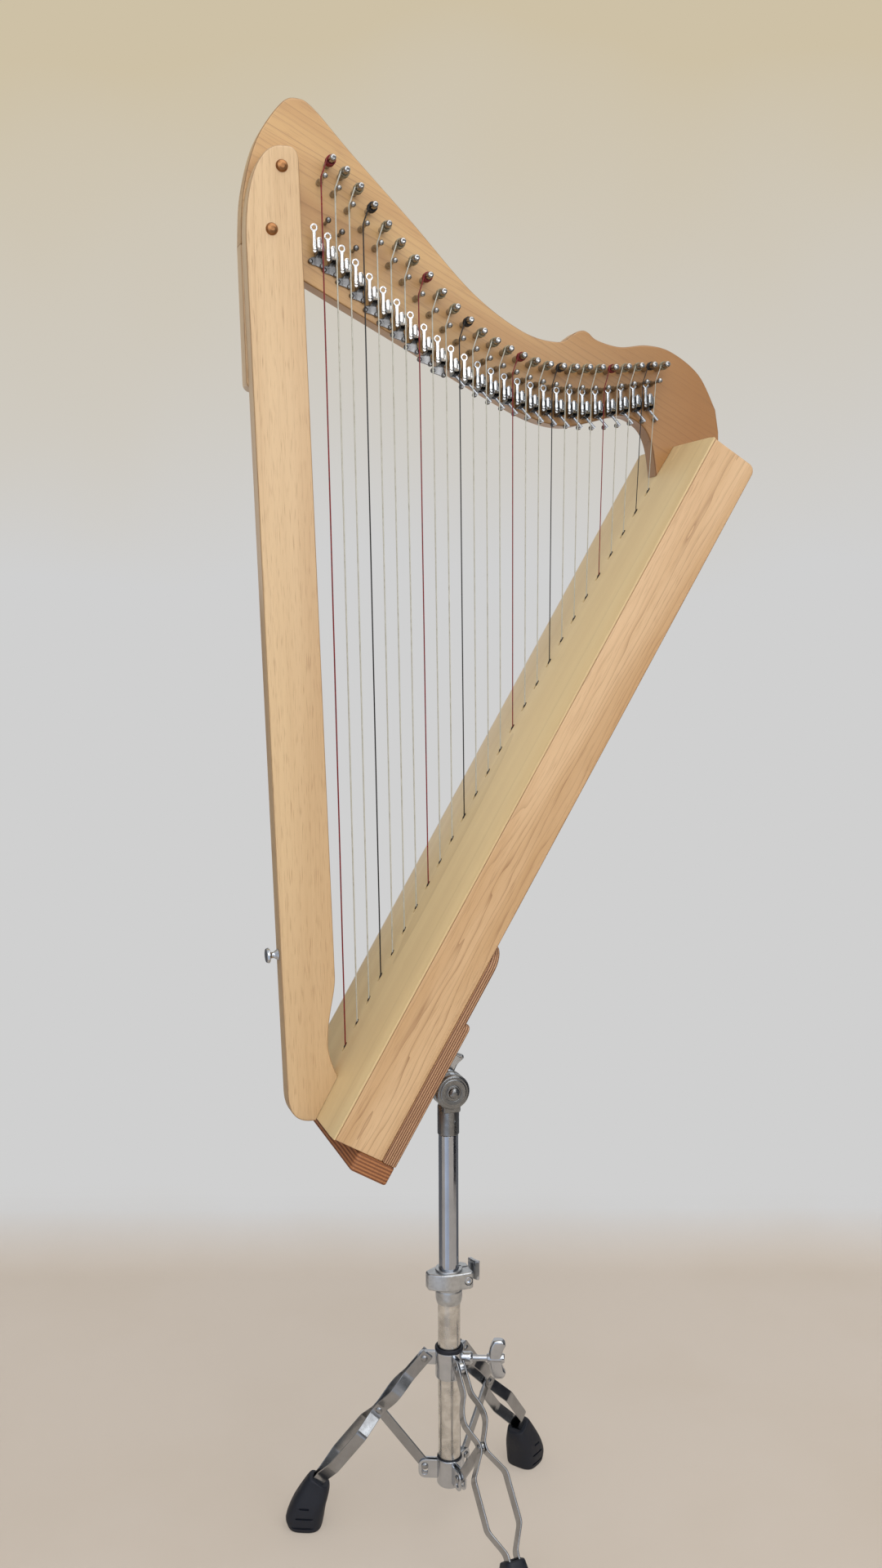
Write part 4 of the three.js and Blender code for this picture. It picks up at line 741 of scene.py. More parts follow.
class HarpStageSettings(bpy.types.PropertyGroup):
    floor: FloatVectorProperty(
        name="Floor", description="Colour of the floor", subtype="COLOR", size=3, default=tint(202, 191, 179))
    wall: FloatVectorProperty(
        name="Wall", description="Colour of the wall at the middle", subtype="COLOR", size=3,
        default=tint(208, 208, 208))
    wall_top: FloatVectorProperty(
        name="Wall Top", description="Colour of the wall above", subtype="COLOR", size=3,
        default=tint(206, 193, 166))
    wall_distance: FloatProperty(
        name="Wall Distance", description="From the camera to the wall", default=2.06, min=1.9, max=4.0,
        unit="LENGTH")
    room_light: FloatProperty(
        name="Room Light", description="Strength of the light all round", default=0.8, min=0.0, max=2.0)
    lamp_power: FloatProperty(
        name="Lamp Power", description="Power of the front lamp", default=25.5, min=0.0, max=200.0, unit="POWER")


def woods():
    return bpy.context.scene.harp_woods


def metals():
    return bpy.context.scene.harp_metals


# Finishes
def maple_side():
    return wood(
        "Maple Side", tuple(woods().maple), tint(194, 154, 108), tuple(woods().maple_line), spacing=7, stretch=0.1,
        waviness=0.055, sharpness=9.0, ring_strength=0.85, pore_strength=0.3, offset=(190, 60, 0), frame_turn=BOX,
        edge=tint(150, 104, 66), edge_strength=0.5, knot=(26, -78, 257), knot_size=17, knot_depth=11,
        knot_strength=0.25, wave_scale=34.0,
    )


def maple_plain():
    return wood(
        "Maple Plain", tuple(woods().maple), tint(194, 154, 108), tint(150, 104, 66), spacing=9, waviness=0.02,
        ring_strength=0.35, pore_strength=0.2, offset=(30, 90, 0), frame_turn=BOX, face=(1, 0, 0),
        edge=tint(130, 90, 58),
    )


def neck_maple():
    # The neck darkens towards the treble end through falloff_shade, a painted shade for the light's falloff
    return wood(
        "Neck Maple", tuple(woods().neck), tint(183, 141, 92), tint(118, 78, 44), spacing=6.5, stretch=0.08,
        waviness=0.05, sharpness=9.0, ring_strength=0.85, pore_strength=0.3, turn=(0, -118, 0),
        offset=(-120, 120, 0), edge=tint(104, 70, 42), edge_strength=0.6, wave_scale=26.0, falloff_shade=tint(155, 109, 60),
    )


def pillar_maple():
    return wood(
        "Pillar Maple", tuple(woods().pillar), tint(196, 162, 120), tint(146, 102, 68), spacing=5.5, stretch=0.04,
        waviness=0.03, sharpness=5.0, ring_strength=0.5, pore_strength=0.6, offset=(160, 70, 0),
        edge=tint(120, 82, 54), edge_strength=0.5, wave_scale=30.0,
    )


def soundboard_wood():
    return wood(
        "Soundboard Wood", tuple(woods().soundboard), tint(210, 184, 138), tint(160, 130, 84), spacing=13,
        stretch=0.05, waviness=0.03, sharpness=8.0, ring_strength=0.34, pore_strength=0.1, turn=(0, 0, 8),
        offset=(120, 40, 0), frame_turn=BOX, face=(1, 0, 0), edge=tint(168, 132, 84), roughness=0.42,
    )


def string_slot_shade():
    # A dark colour for the painted shade in the string slots
    return plain("Slot Shade", tint(44, 28, 18), tint(30, 20, 14), 0.7, 400.0, 0.3)


def mount_plywood():
    return plywood("Mount Plywood", tuple(woods().plywood), tint(116, 76, 52), 1.1, 0)


def block_plywood():
    return plywood("Block Plywood", tint(186, 124, 78), tint(126, 76, 44), 1.6, 2)


def nickel():
    return metal("Nickel Plate", tuple(metals().nickel), tint(146, 148, 152), 0.14, 0.35)


def lever_metal():
    # Near-white nickel: the painted lit copy of the levers' nickel; the treble levers take its painted shaded copy
    return metal("Lever Nickel", tint(238, 238, 238), tint(170, 170, 170), 0.2, 0.25, scratch_scale=2500.0)


def treble_lever_metal():
    # Darker nickel with heavy dark smudges: the painted shaded copy of the levers' nickel, for the treble levers
    return metal("Treble Lever Nickel", tint(188, 190, 192), tint(74, 74, 76), 0.14, 0.75, smudge_scale=160.0)


def pin_metal():
    return metal("Pin Nickel", tint(172, 172, 172), tint(90, 88, 86), 0.1, 0.45, scratch_scale=2500.0)


def bracket_metal():
    return metal("Bracket Steel", tint(132, 131, 131), tint(74, 72, 72), 0.2, 0.5, scratch_scale=2500.0)


def leg_steel():
    return metal("Leg Steel", tint(166, 168, 171), tint(112, 108, 104), 0.16, 0.4)


def chrome():
    return metal(
        "Tube Chrome", tuple(metals().chrome), tint(140, 144, 150), metals().chrome_roughness, 0.3,
        smudge_scale=45.0,
    )


def worn_chrome():
    return metal(
        "Worn Chrome", tint(228, 226, 222), tint(138, 134, 128), 0.2, 0.75, relief=0.25, smudge_scale=70.0,
        scratch_scale=500.0,
    )


def cast_metal():
    return metal("Cast Metal", tuple(metals().cast), tint(140, 142, 144), 0.3, 0.5, relief=0.3, smudge_scale=220.0)


def tilter_metal():
    return metal("Tilter Metal", tint(146, 148, 150), tint(104, 102, 98), 0.26, 0.5, relief=0.25, smudge_scale=220.0)


def copper():
    return metal("Screw Copper", tuple(metals().copper), tint(120, 76, 50), 0.3, 0.6)


def rubber():
    return plain("Foot Rubber", tint(10, 16, 30), tint(20, 26, 38), 0.5, 260.0, 0.3)


# Places of the strings, their pins and their levers
def neck_point(share):
    return (NECK_LEFT + share[0] * NECK_REACH, NECK_FOOT + share[1] * NECK_RISE)


def row_height(shares, t):
    steps = 5
    line = spline([(i, s * NECK_RISE) for i, s in enumerate(shares)], steps)
    return line[round(t * (len(shares) - 1) * steps)][1]


def belly(y, up):
    return BOARD_BELLY * math.sin(math.pi * up / BOX_LENGTH) * math.cos(math.pi * y / BOX_WIDTH)


def string_plan(number):
    t = (number - 1) / (STRING_COUNT - 1)
    diameter = BASS_DIAMETER + (TREBLE_DIAMETER - BASS_DIAMETER) * t
    up = FIRST_STRING + (LAST_STRING - FIRST_STRING) * t
    foot = Matrix.Rotation(BOX_LEAN, 3, "Y") @ Vector((-belly(0, up), 0, up))
    bridge_side = foot.x + BRIDGE_GROOVE_RADIUS + diameter / 2 + SEAT_GAP
    bridge = Vector((bridge_side, 0, NECK_FOOT + row_height(BRIDGE_HEIGHTS, t)))
    tuning = Vector((bridge.x + TUNING_PIN_SIDE, 0, NECK_FOOT + row_height(TUNING_HEIGHTS, t)))
    top = Vector((foot.x, -STANDOFF, bridge.z))
    pivot_height = bridge.z - row_height(EYE_DROPS, t) - EYE_RISE
    pivot = foot.lerp(top, (pivot_height - foot.z) / (top.z - foot.z)) + Vector((0, LEVER_CLEARANCE, 0))
    return {
        "number": number, "diameter": diameter, "up": up, "foot": foot, "bridge": bridge, "tuning": tuning,
        "top": top, "pivot": pivot,
    }


PLANS = [string_plan(number) for number in range(1, STRING_COUNT + 1)]


class HarpOperator:
    """What the harp's operators share."""
    bl_options = {"REGISTER", "UNDO"}


class HARP_OT_stage(HarpOperator, bpy.types.Operator):
    """Make the floor, the wall, the lamps, the world and the camera"""
    bl_idname = "harp.stage"
    bl_label = "Stage"

    def execute(self, context):
        settings = context.scene.harp_stage
        scene = context.scene
        scene.view_settings.view_transform = "Standard"
        eye = HARP_ORIGIN + Vector(EYE_PLACE) * MM
        forward = Vector((
            math.sin(EYE_YAW) * math.cos(EYE_PITCH), math.cos(EYE_YAW) * math.cos(EYE_PITCH), math.sin(EYE_PITCH),
        ))
        level_right = Vector((math.cos(EYE_YAW), -math.sin(EYE_YAW), 0))
        level_up = level_right.cross(forward)
        right = level_right * math.cos(EYE_ROLL) + level_up * math.sin(EYE_ROLL)
        up = level_up * math.cos(EYE_ROLL) - level_right * math.sin(EYE_ROLL)
        camera = bpy.data.cameras.new("Camera")
        camera.sensor_fit = "VERTICAL"
        camera.sensor_height = 36
        camera.lens = camera.sensor_height * FOCAL_PIXELS / IMAGE_HEIGHT
        seen_from = bpy.data.objects.new("Camera", camera)
        seen_from.matrix_world = Matrix.Translation(eye) @ Matrix((right, up, -forward)).transposed().to_4x4()
        scene.collection.objects.link(seen_from)
        scene.camera = seen_from

        # Floor and wall as one sheet, seen from the front only, and the floor's continuation behind the wall
        flat = Vector((math.sin(EYE_YAW), math.cos(EYE_YAW), 0))
        bend = 0.1
        half_width, near, height = 9.0, -9.0, 4.5
        far = settings.wall_distance - bend
        line = [(near, 0), (0, 0), (far, 0)]
        turns = [math.radians(9 * i) for i in range(1, 10)]
        line += [(far + bend * math.sin(a), bend - bend * math.cos(a)) for a in turns]
        line += [(far + bend, bend), (far + bend, height)]
        base = Vector((eye.x, eye.y, 0))
        work = bmesh.new()
        behind = [(far, -0.001), (far + half_width, -0.001)]
        for strip in (line, behind):
            rows = []
            for away, rise in strip:
                rows.append([
                    work.verts.new(base + flat * away + level_right * side + Vector((0, 0, rise)))
                    for side in (-half_width, half_width)
                ])
            for low, high in zip(rows, rows[1:]):
                work.faces.new((low[0], low[1], high[1], high[0]))
        sheet = bpy.data.meshes.new("Backdrop")
        work.to_mesh(sheet)
        work.free()
        sheet.shade_smooth()
        backdrop = bpy.data.objects.new("Backdrop", sheet)
        scene.collection.objects.link(backdrop)
        sheet.materials.append(self.backdrop_material(settings))
        self.lights(scene, settings)
        self.cards(scene, eye)
        return {"FINISHED"}

    def cards(self, scene, eye):
        """Upright cards round the stand, seen only in shiny metal, for its dark and bright stripes."""
        front = math.degrees(math.atan2(eye.y - TILT_PLACE.y, eye.x - TILT_PLACE.x))
        cards = (
            ("Dark Card", (60, 96), (0.13, 0.95), 0.6, (tint(24, 24, 30), tint(40, 40, 46))),
            ("Grey Card", (98, 150), (0.002, 0.95), 0.6, (tint(112, 112, 114), tint(128, 128, 130))),
            ("Dim Card", (-150, -80), (0.002, 0.95), 0.6, (tint(96, 96, 98), tint(120, 120, 122))),
            ("Bright Card", (-42, 4), (0.002, 0.7), 0.6, (tint(222, 230, 244), tint(200, 208, 222))),
            ("Room Screen", (-100, 100), (0.01, 2.4), 3.2, (tint(196, 199, 204), tint(84, 83, 82))),
        )
        for name, turns, heights, distance, colours in cards:
            start, end = turns
            steps = 12
            rows = []
            for i in range(steps + 1):
                turn = math.radians(front + start + (end - start) * i / steps)
                x, y = TILT_PLACE.x + distance * math.cos(turn), TILT_PLACE.y + distance * math.sin(turn)
                rows.append([(x, y, z) for z in heights])
            points = [point for row in rows for point in row]
            faces = [(2 * i, 2 * i + 2, 2 * i + 3, 2 * i + 1) for i in range(steps)]
            mesh = bpy.data.meshes.new(name)
            mesh.from_pydata(points, [], faces)
            mesh.materials.append(self.card_material(name, *colours))
            card = bpy.data.objects.new(name, mesh)
            scene.collection.objects.link(card)

    def card_material(self, name, colour, other):
        made = bpy.data.materials.new(name)
        made.use_nodes = True
        tree = made.node_tree
        tree.nodes.remove(tree.nodes["Principled BSDF"])
        place = tree.nodes.new("ShaderNodeTexCoord").outputs["Object"]
        patches = put(tree, "ShaderNodeTexNoise", {"Vector": place, "Scale": 0.9, "Detail": 1.0}).outputs["Fac"]
        shade = mixed(tree, ranged(tree, patches, 0.44, 0.56), colour, other)
        face = put(tree, "ShaderNodeEmission", {"Color": shade})
        clear = tree.nodes.new("ShaderNodeBsdfTransparent")
        only = tree.nodes.new("ShaderNodeLightPath").outputs["Is Glossy Ray"]
        both = put(tree, "ShaderNodeMixShader", {0: only, 1: clear.outputs[0], 2: face.outputs[0]})
        tree.links.new(both.outputs[0], tree.nodes["Material Output"].inputs["Surface"])
        return made

    def backdrop_material(self, settings):
        made, tree, shader, place = blank_material("Backdrop")
        height = put(tree, "ShaderNodeSeparateXYZ", {0: place["Object"]}).outputs["Z"]
        cloud = put(tree, "ShaderNodeTexNoise", {"Vector": place["Object"], "Scale": 1.6, "Detail": 2.0}).outputs["Fac"]
        drift = math_of(tree, "MULTIPLY", math_of(tree, "SUBTRACT", cloud, 0.5), 0.5)
        lifted = math_of(tree, "ADD", height, drift)
        colour = mixed(tree, ranged(tree, height, 0.0, 0.06), tuple(settings.floor), tuple(settings.wall))
        colour = mixed(tree, ranged(tree, lifted, 1.0, 1.7), colour, tuple(settings.wall_top))
        # Darker warm mottle on the floor: painted shade, standing for the mottled shadow on the floor
        floor_shade_noise = put(tree, "ShaderNodeTexNoise", {"Vector": place["Object"], "Scale": 3.5, "Detail": 3.0}).outputs["Fac"]
        painted_floor_shade = math_of(tree, "MULTIPLY", ranged(tree, floor_shade_noise, 0.45, 0.75), ranged(tree, height, 0.0, 0.1, 0.25, 0.0))
        colour = mixed(tree, painted_floor_shade, colour, tint(190, 176, 158))
        tree.links.new(colour, shader.inputs["Base Color"])
        shader.inputs["Roughness"].default_value = 0.9
        shader.inputs["Specular IOR Level"].default_value = 0.1
        glow = put(tree, "ShaderNodeEmission", {"Color": colour, "Strength": 1.0})
        path = tree.nodes.new("ShaderNodeLightPath").outputs
        seen = math_of(tree, "MAXIMUM", path["Is Camera Ray"], path["Is Glossy Ray"])
        seen = math_of(tree, "MAXIMUM", seen, path["Is Transmission Ray"])
        on_wall = math_of(tree, "MULTIPLY", seen, ranged(tree, height, 0.0, 0.08, 0.5, 1.0))
        front = put(tree, "ShaderNodeMixShader", {0: on_wall, 1: shader.outputs[0], 2: glow.outputs[0]})
        behind = put(tree, "ShaderNodeNewGeometry").outputs["Backfacing"]
        clear = tree.nodes.new("ShaderNodeBsdfTransparent")
        both = put(tree, "ShaderNodeMixShader", {0: behind, 1: front.outputs[0], 2: clear.outputs[0]})
        tree.links.new(both.outputs[0], tree.nodes["Material Output"].inputs["Surface"])
        return made

    def lights(self, scene, settings):
        world = bpy.data.worlds.new("Room")
        world.use_nodes = True
        tree = world.node_tree
        place = tree.nodes.new("ShaderNodeTexCoord").outputs["Generated"]
        rise = ranged(tree, put(tree, "ShaderNodeSeparateXYZ", {0: place}).outputs["Z"], 0.0, 0.6)
        colour = mixed(tree, rise, tint(200, 201, 202), tint(232, 234, 238))
        background = tree.nodes["Background"]
        tree.links.new(colour, background.inputs["Color"])
        background.inputs["Strength"].default_value = settings.room_light
        scene.world = world
        lamps = (
            ("Front Lamp", (-0.9, -2.2, 2.0), 2.0, settings.lamp_power, (1.0, 0.99, 0.97)),
            ("Top Lamp", (0.4, -0.8, 3.0), 2.2, settings.lamp_power, (1.0, 0.98, 0.95)),
            ("Window Lamp", (0.7, -2.3, 1.35), 0.9, settings.lamp_power * 0.3, (0.96, 0.98, 1.0)),
        )
        for name, spot, size, power, colour in lamps:
            lamp = bpy.data.lights.new(name, "AREA")
            lamp.shape = "SQUARE"
            lamp.size = size
            lamp.energy = power
            lamp.color = colour
            made = bpy.data.objects.new(name, lamp)
            made.location = spot
            aim = Vector((0, 0, 0.8)) - Vector(spot)
            made.rotation_euler = aim.to_track_quat("-Z", "Y").to_euler()
            made.visible_camera = False
            scene.collection.objects.link(made)


class HARP_OT_soundbox(HarpOperator, bpy.types.Operator):
    """Make the soundboard, the sides, the ends, the back and the string rib"""
    bl_idname = "harp.soundbox"
    bl_label = "Soundbox"

    def execute(self, context):
        edge = woods().edge_rounding / MM
        self.soundboard()
        r = SIDE_CORNER
        front = BOARD_THICKNESS + SEAT_GAP
        outline = [(front, 0), (BOX_DEPTH, 0), *arc(BOX_DEPTH - r, BOX_LENGTH - r, r, 0, 90), (front, BOX_LENGTH)]
        half = BOX_WIDTH / 2
        inner = half - SIDE_THICKNESS
        piece("side_near_board", panel(outline, -half, -inner, edge), BOX, "harp", maple_side(), "maple", "side_near")
        piece("side_far_board", panel(outline, inner, half, edge), BOX, "harp", maple_side(), "maple", "side_far")
        reach = inner - SEAT_GAP
        for name, low, high in (("bottom_end", 0, END_THICKNESS), ("top_end", BOX_LENGTH - END_THICKNESS, BOX_LENGTH)):
            outline = rounded_box(front, BOX_DEPTH, low, high, 2.5)
            board = panel(outline, -reach, reach, 0.6)
            piece(name + "_board", board, BOX, "harp", maple_plain(), "maple", name)
        holes = []
        for place in HOLE_PLACES:
            straight = (HOLE_LENGTH - HOLE_WIDTH) / 2
            hole = arc(place + straight, 0, HOLE_WIDTH / 2, -90, 90, 20)
            holes.append(hole + arc(place - straight, 0, HOLE_WIDTH / 2, 90, 270, 20))
        low, high = END_THICKNESS + SEAT_GAP, BOX_LENGTH - END_THICKNESS - SEAT_GAP
        outline = [(low, -reach), (high, -reach), (high, reach), (low, reach)]
        back = plate(outline, -BOX_DEPTH, BACK_THICKNESS - BOX_DEPTH, 0.8, holes, FACING_BACK)
        piece("back_board", back, BOX, "harp", maple_plain(), "maple", "back")
        return {"FINISHED"}

    def soundboard(self):
        rows, columns = 48, 20
        half = BOX_WIDTH / 2
        outline_rows = []
        inset = 1.2
        for i in range(rows + 1):
            up = BOX_LENGTH * i / rows
            front = [
                (-belly(y, up) + (inset if j in (0, columns) else 0), y, up)
                for j, y in enumerate(half * (2 * j / columns - 1) for j in range(columns + 1))
            ]
            rear = [(BOARD_THICKNESS - belly(point[1], up), point[1], up) for point in reversed(front)]
            outline_rows.append(front + rear)
        board = grid(outline_rows, closed=True)
        cutters = []
        for plan in PLANS:
            depth = -belly(0, plan["up"])
            middle = plan["up"] - BOARD_THICKNESS / 2 / math.tan(BOX_LEAN)
            r = SLOT_WIDTH / 2
            straight = SLOT_LENGTH / 2 - r
            seed = arc(middle + straight, 0, r, -90, 90, 6) + arc(middle - straight, 0, r, 90, 270, 6)
            cutters.append(plate(seed, -depth - BOARD_THICKNESS - 1, 1 - depth, 0.01, (), FACING_BACK))
        board = trimmed(board, joined(*cutters))
        piece("soundboard_plate", board, BOX, "harp", soundboard_wood(), "spruce", "soundboard")


class HARP_OT_plywood(HarpOperator, bpy.types.Operator):
    """Make the block under the box and the stepped board behind it"""
    bl_idname = "harp.plywood"
    bl_label = "Plywood"

    def execute(self, context):
        half = BOX_WIDTH / 2
        outline = rounded_box(BASE_BLOCK_FRONT, MOUNT_BACK, -half, half, 4)
        block = plate(outline, -BASE_BLOCK_THICKNESS, -SEAT_GAP, 2.2)
        piece("base_block_ply", block, BOX, "harp", block_plywood(), "plywood", "base_block")
        front = BOX_DEPTH + SEAT_GAP
        step = front + MOUNT_BOARD_THICKNESS
        corner = MOUNT_BOARD_CORNER
        length = MOUNT_BOARD_LENGTH
        outline = [(0, -half), *arc(length - corner, corner - half, corner, -90, 0),
                   *arc(length - corner, half - corner, corner, 0, 90), (0, half)]
        lower = plate(outline, -step, -front, 1.8, (), FACING_BACK)
        outline = [(0, -half), *arc(MOUNT_STEP_LENGTH - 6, 6 - half, 6, -90, 0),
                   *arc(MOUNT_STEP_LENGTH - 6, half - 6, 6, 0, 90), (0, half)]
        upper = plate(outline, -MOUNT_BACK, 1 - step, 1.8, (), FACING_BACK)
        piece("mount_board_ply", joined(lower, upper), BOX, "harp", mount_plywood(), "plywood", "mount_board")
        return {"FINISHED"}


def box_block():
    """The box's room, which the neck and the pillar are cut back from."""
    low, high = -SEAT_GAP, BOX_DEPTH + SEAT_GAP
    rows = []
    for i in range(25):
        up = -2 + (BOX_LENGTH + 2 + SEAT_GAP) * i / 24
        front = [(low - belly(y, up), y, up) for y in (-60, -30, -10, 0, 10, 30, 60)]
        rows.append(front + [(high, 60, up), (high, -60, up)])
    made = grid(rows, closed=True)
    made.transform(Matrix.Rotation(BOX_LEAN, 4, "Y"))
    return made


class HARP_OT_neck(HarpOperator, bpy.types.Operator):
    """Make the neck's board"""
    bl_idname = "harp.neck"
    bl_label = "Neck"

    def execute(self, context):
        edge = woods().edge_rounding / MM
        upper = [
            (0, 0.612), (0.008, 0.745), (0.036, 0.882), (0.085, 0.982), (0.118, 0.9995), (0.15, 0.974), (0.22, 0.866),
            (0.335, 0.697), (0.456, 0.515), (0.56, 0.414), (0.634, 0.388), (0.666, 0.408),
        ]
        bump = [(0.666, 0.408), (0.678, 0.419), (0.693, 0.424), (0.705, 0.417)]
        treble = [
            (0.705, 0.417), (0.724, 0.397), (0.774, 0.381), (0.835, 0.389), (0.891, 0.372), (0.954, 0.308),
            (0.993, 0.206),
        ]
        arch = [
            (0.852, -0.02), (0.852, 0.018), (0.842, 0.103), (0.82, 0.155), (0.776, 0.182), (0.716, 0.165),
            (0.65, 0.147), (0.575, 0.169), (0.476, 0.239), (0.421, 0.281), (0.334, 0.352),
        ]
        outline = []
        for row in (upper, bump, treble):
            outline += spline([neck_point(share) for share in row], 8)[:-1]
        outline += [neck_point((0.993, 0.206)), neck_point((1, 0.14)), neck_point((1, -0.02))]
        outline += spline([neck_point(share) for share in arch], 8)
        board = panel(outline, 0, NECK_THICKNESS, edge)
        board = trimmed(board, box_block(), crossed=True)
        piece("neck_board", board, HARP, "harp", neck_maple(), "neck_wood", "neck")
        return {"FINISHED"}


class HARP_OT_pillar(HarpOperator, bpy.types.Operator):
    """Make the pillar, the block behind its top, its screws and the strap button"""
    bl_idname = "harp.pillar"
    bl_label = "Pillar"

    def execute(self, context):
        edge = woods().edge_rounding / MM
        top, curve, waist, width = PILLAR_TOP, PILLAR_CURVE, PILLAR_WAIST, PILLAR_WIDTH

        def left(z):
            return NECK_LEFT - SEAT_GAP + math.tan(PILLAR_LEAN) * (top - z)

        def right(z):
            return left(z) + width
        outline = [(left(curve), curve), (left(0.905 * top), 0.905 * top)]
        outline += bezier(
            outline[-1], (left(top) + 0.02 * width, 0.955 * top), (left(top) + 0.24 * width, 0.999 * top),
            (left(top) + 0.68 * width, top),
        )
        outline += bezier((right(top) - 0.2 * width, top), (right(top), top), (right(top), 0.985 * top))
        outline.append((right(curve), curve))
        outline += bezier(
            outline[-1], (right(curve), 0.88 * curve), (right(curve) - waist, 0.72 * curve),
            (right(curve) - waist, 0.52 * curve),
        )
        outline += bezier(
            outline[-1], (right(curve) - waist, 0.4 * curve), (right(curve) + waist / 2, 0.2 * curve),
        )
        outline.append((0, -2))
        outline += bezier(outline[-1], (left(0), -4), (left(0), 0.2 * curve))
        board = trimmed(panel(outline, -PILLAR_THICKNESS, -SEAT_GAP, edge), box_block())
        piece("pillar_board", board, HARP, "harp", pillar_maple(), "maple", "pillar")
        self.top_block(edge)
        dome = softened([(0, 3.2), (2.2, 3.05), (4.4, 2.2), (5.5, 0.4), (5.5, 0)], 0.4)
        dome += [(2.2, 0), (2.2, -30), (0, -30)]
        screw = lathed(dome, 32)
        screw.transform(TO_FRONT)
        places = [shift(neck_point(s)[0], -PILLAR_THICKNESS, neck_point(s)[1]) for s in PILLAR_SCREWS]
        piece("pillar_screws", joined(*[(screw, p) for p in places]), HARP, "harp", copper(), "nickel", "pillar")
        button = softened(
            [(0, -14), (3, -14), (3, 0.3), (5.6, 0.3), (3, 4.2), (3, 7.2), (7.5, 9), (6.4, 12), (0, 12)], 0.9,
        )
        knob = lathed([(r, x * 0.9995) for r, x in button], 32, TO_LEFT)
        place = HARP @ shift(left(BUTTON_HEIGHT), -PILLAR_THICKNESS / 2, BUTTON_HEIGHT)
        piece("strap_knob", knob, place, "harp", nickel(), "nickel", "strap_button")
        return {"FINISHED"}

    def top_block(self, edge):
        left, right = NECK_LEFT, NECK_LEFT + TOP_BLOCK_WIDTH
        seam, under = neck_point((0, 0.612)), neck_point((0.334, 0.352))
        fall = (under[1] - seam[1]) / (under[0] - seam[0])
        r = TOP_BLOCK_WIDTH / 6
        bottom = TOP_BLOCK_BOTTOM
        outline = [(left, seam[1] - 0.6), *arc(left + r, bottom + r, r, 180, 270, 8),
                   *arc(right - r, bottom + r, r, 270, 360, 8),
                   (right, seam[1] - 0.6 + fall * TOP_BLOCK_WIDTH - 2)]
        block = panel(outline, 0, NECK_THICKNESS, edge)
        piece("top_block_board", block, HARP, "harp", pillar_maple(), "maple", "pillar_top_block")


class HARP_OT_pins(HarpOperator, bpy.types.Operator):
    """Make the tuning pins, the bridge pins and the guide pins"""
    bl_idname = "harp.pins"
    bl_label = "Pins"

    def execute(self, context):
        r, length = TUNING_PIN_RADIUS, TUNING_PIN_LENGTH
        tuning = [(0, -2), (r, -2), (r, length - 6), (r * 0.94, length - 5.4), (r * 0.94, length - 1.6)]
        tuning += [(r * 0.8, length - 0.5), (r * 0.5, length - 0.05), (0, length)]
        pin = lathed(softened(tuning, 0.4), 24, TO_FRONT, angle=60)
        pins = [(pin, shift(p["tuning"].x, 0, p["tuning"].z)) for p in PLANS]
        piece("tuning_pins", joined(*pins), HARP, "harp", pin_metal(), "nickel", "neck")
        ball = 2.6
        top = BRIDGE_PIN_LENGTH
        bridge = [(0, -2), (3, -2), (3, 3.6), (2.4, 4.8), (BRIDGE_GROOVE_RADIUS, 6)]
        bridge += [(BRIDGE_GROOVE_RADIUS, 19)]
        bridge += arc(0, top - ball, ball, -42, 90, 10)
        post = lathed(bridge, 24, TO_FRONT, angle=60)
        posts = [(post, shift(p["bridge"].x, 0, p["bridge"].z)) for p in PLANS]
        piece("bridge_pins", joined(*posts), HARP, "harp", pin_metal(), "nickel", "neck")
        guide = [(0, -2), (1.6, -2), (1.6, 9.8)] + arc(0, 12.2, 2.8, -55, 90, 10)
        stud = lathed(guide, 24, TO_FRONT, angle=60)
        studs = [(stud, shift(p["top"].x + 7, 0, p["bridge"].z - 35)) for p in PLANS[:3]]
        piece("guide_pins", joined(*studs), HARP, "harp", bracket_metal(), "nickel", "neck")
        return {"FINISHED"}


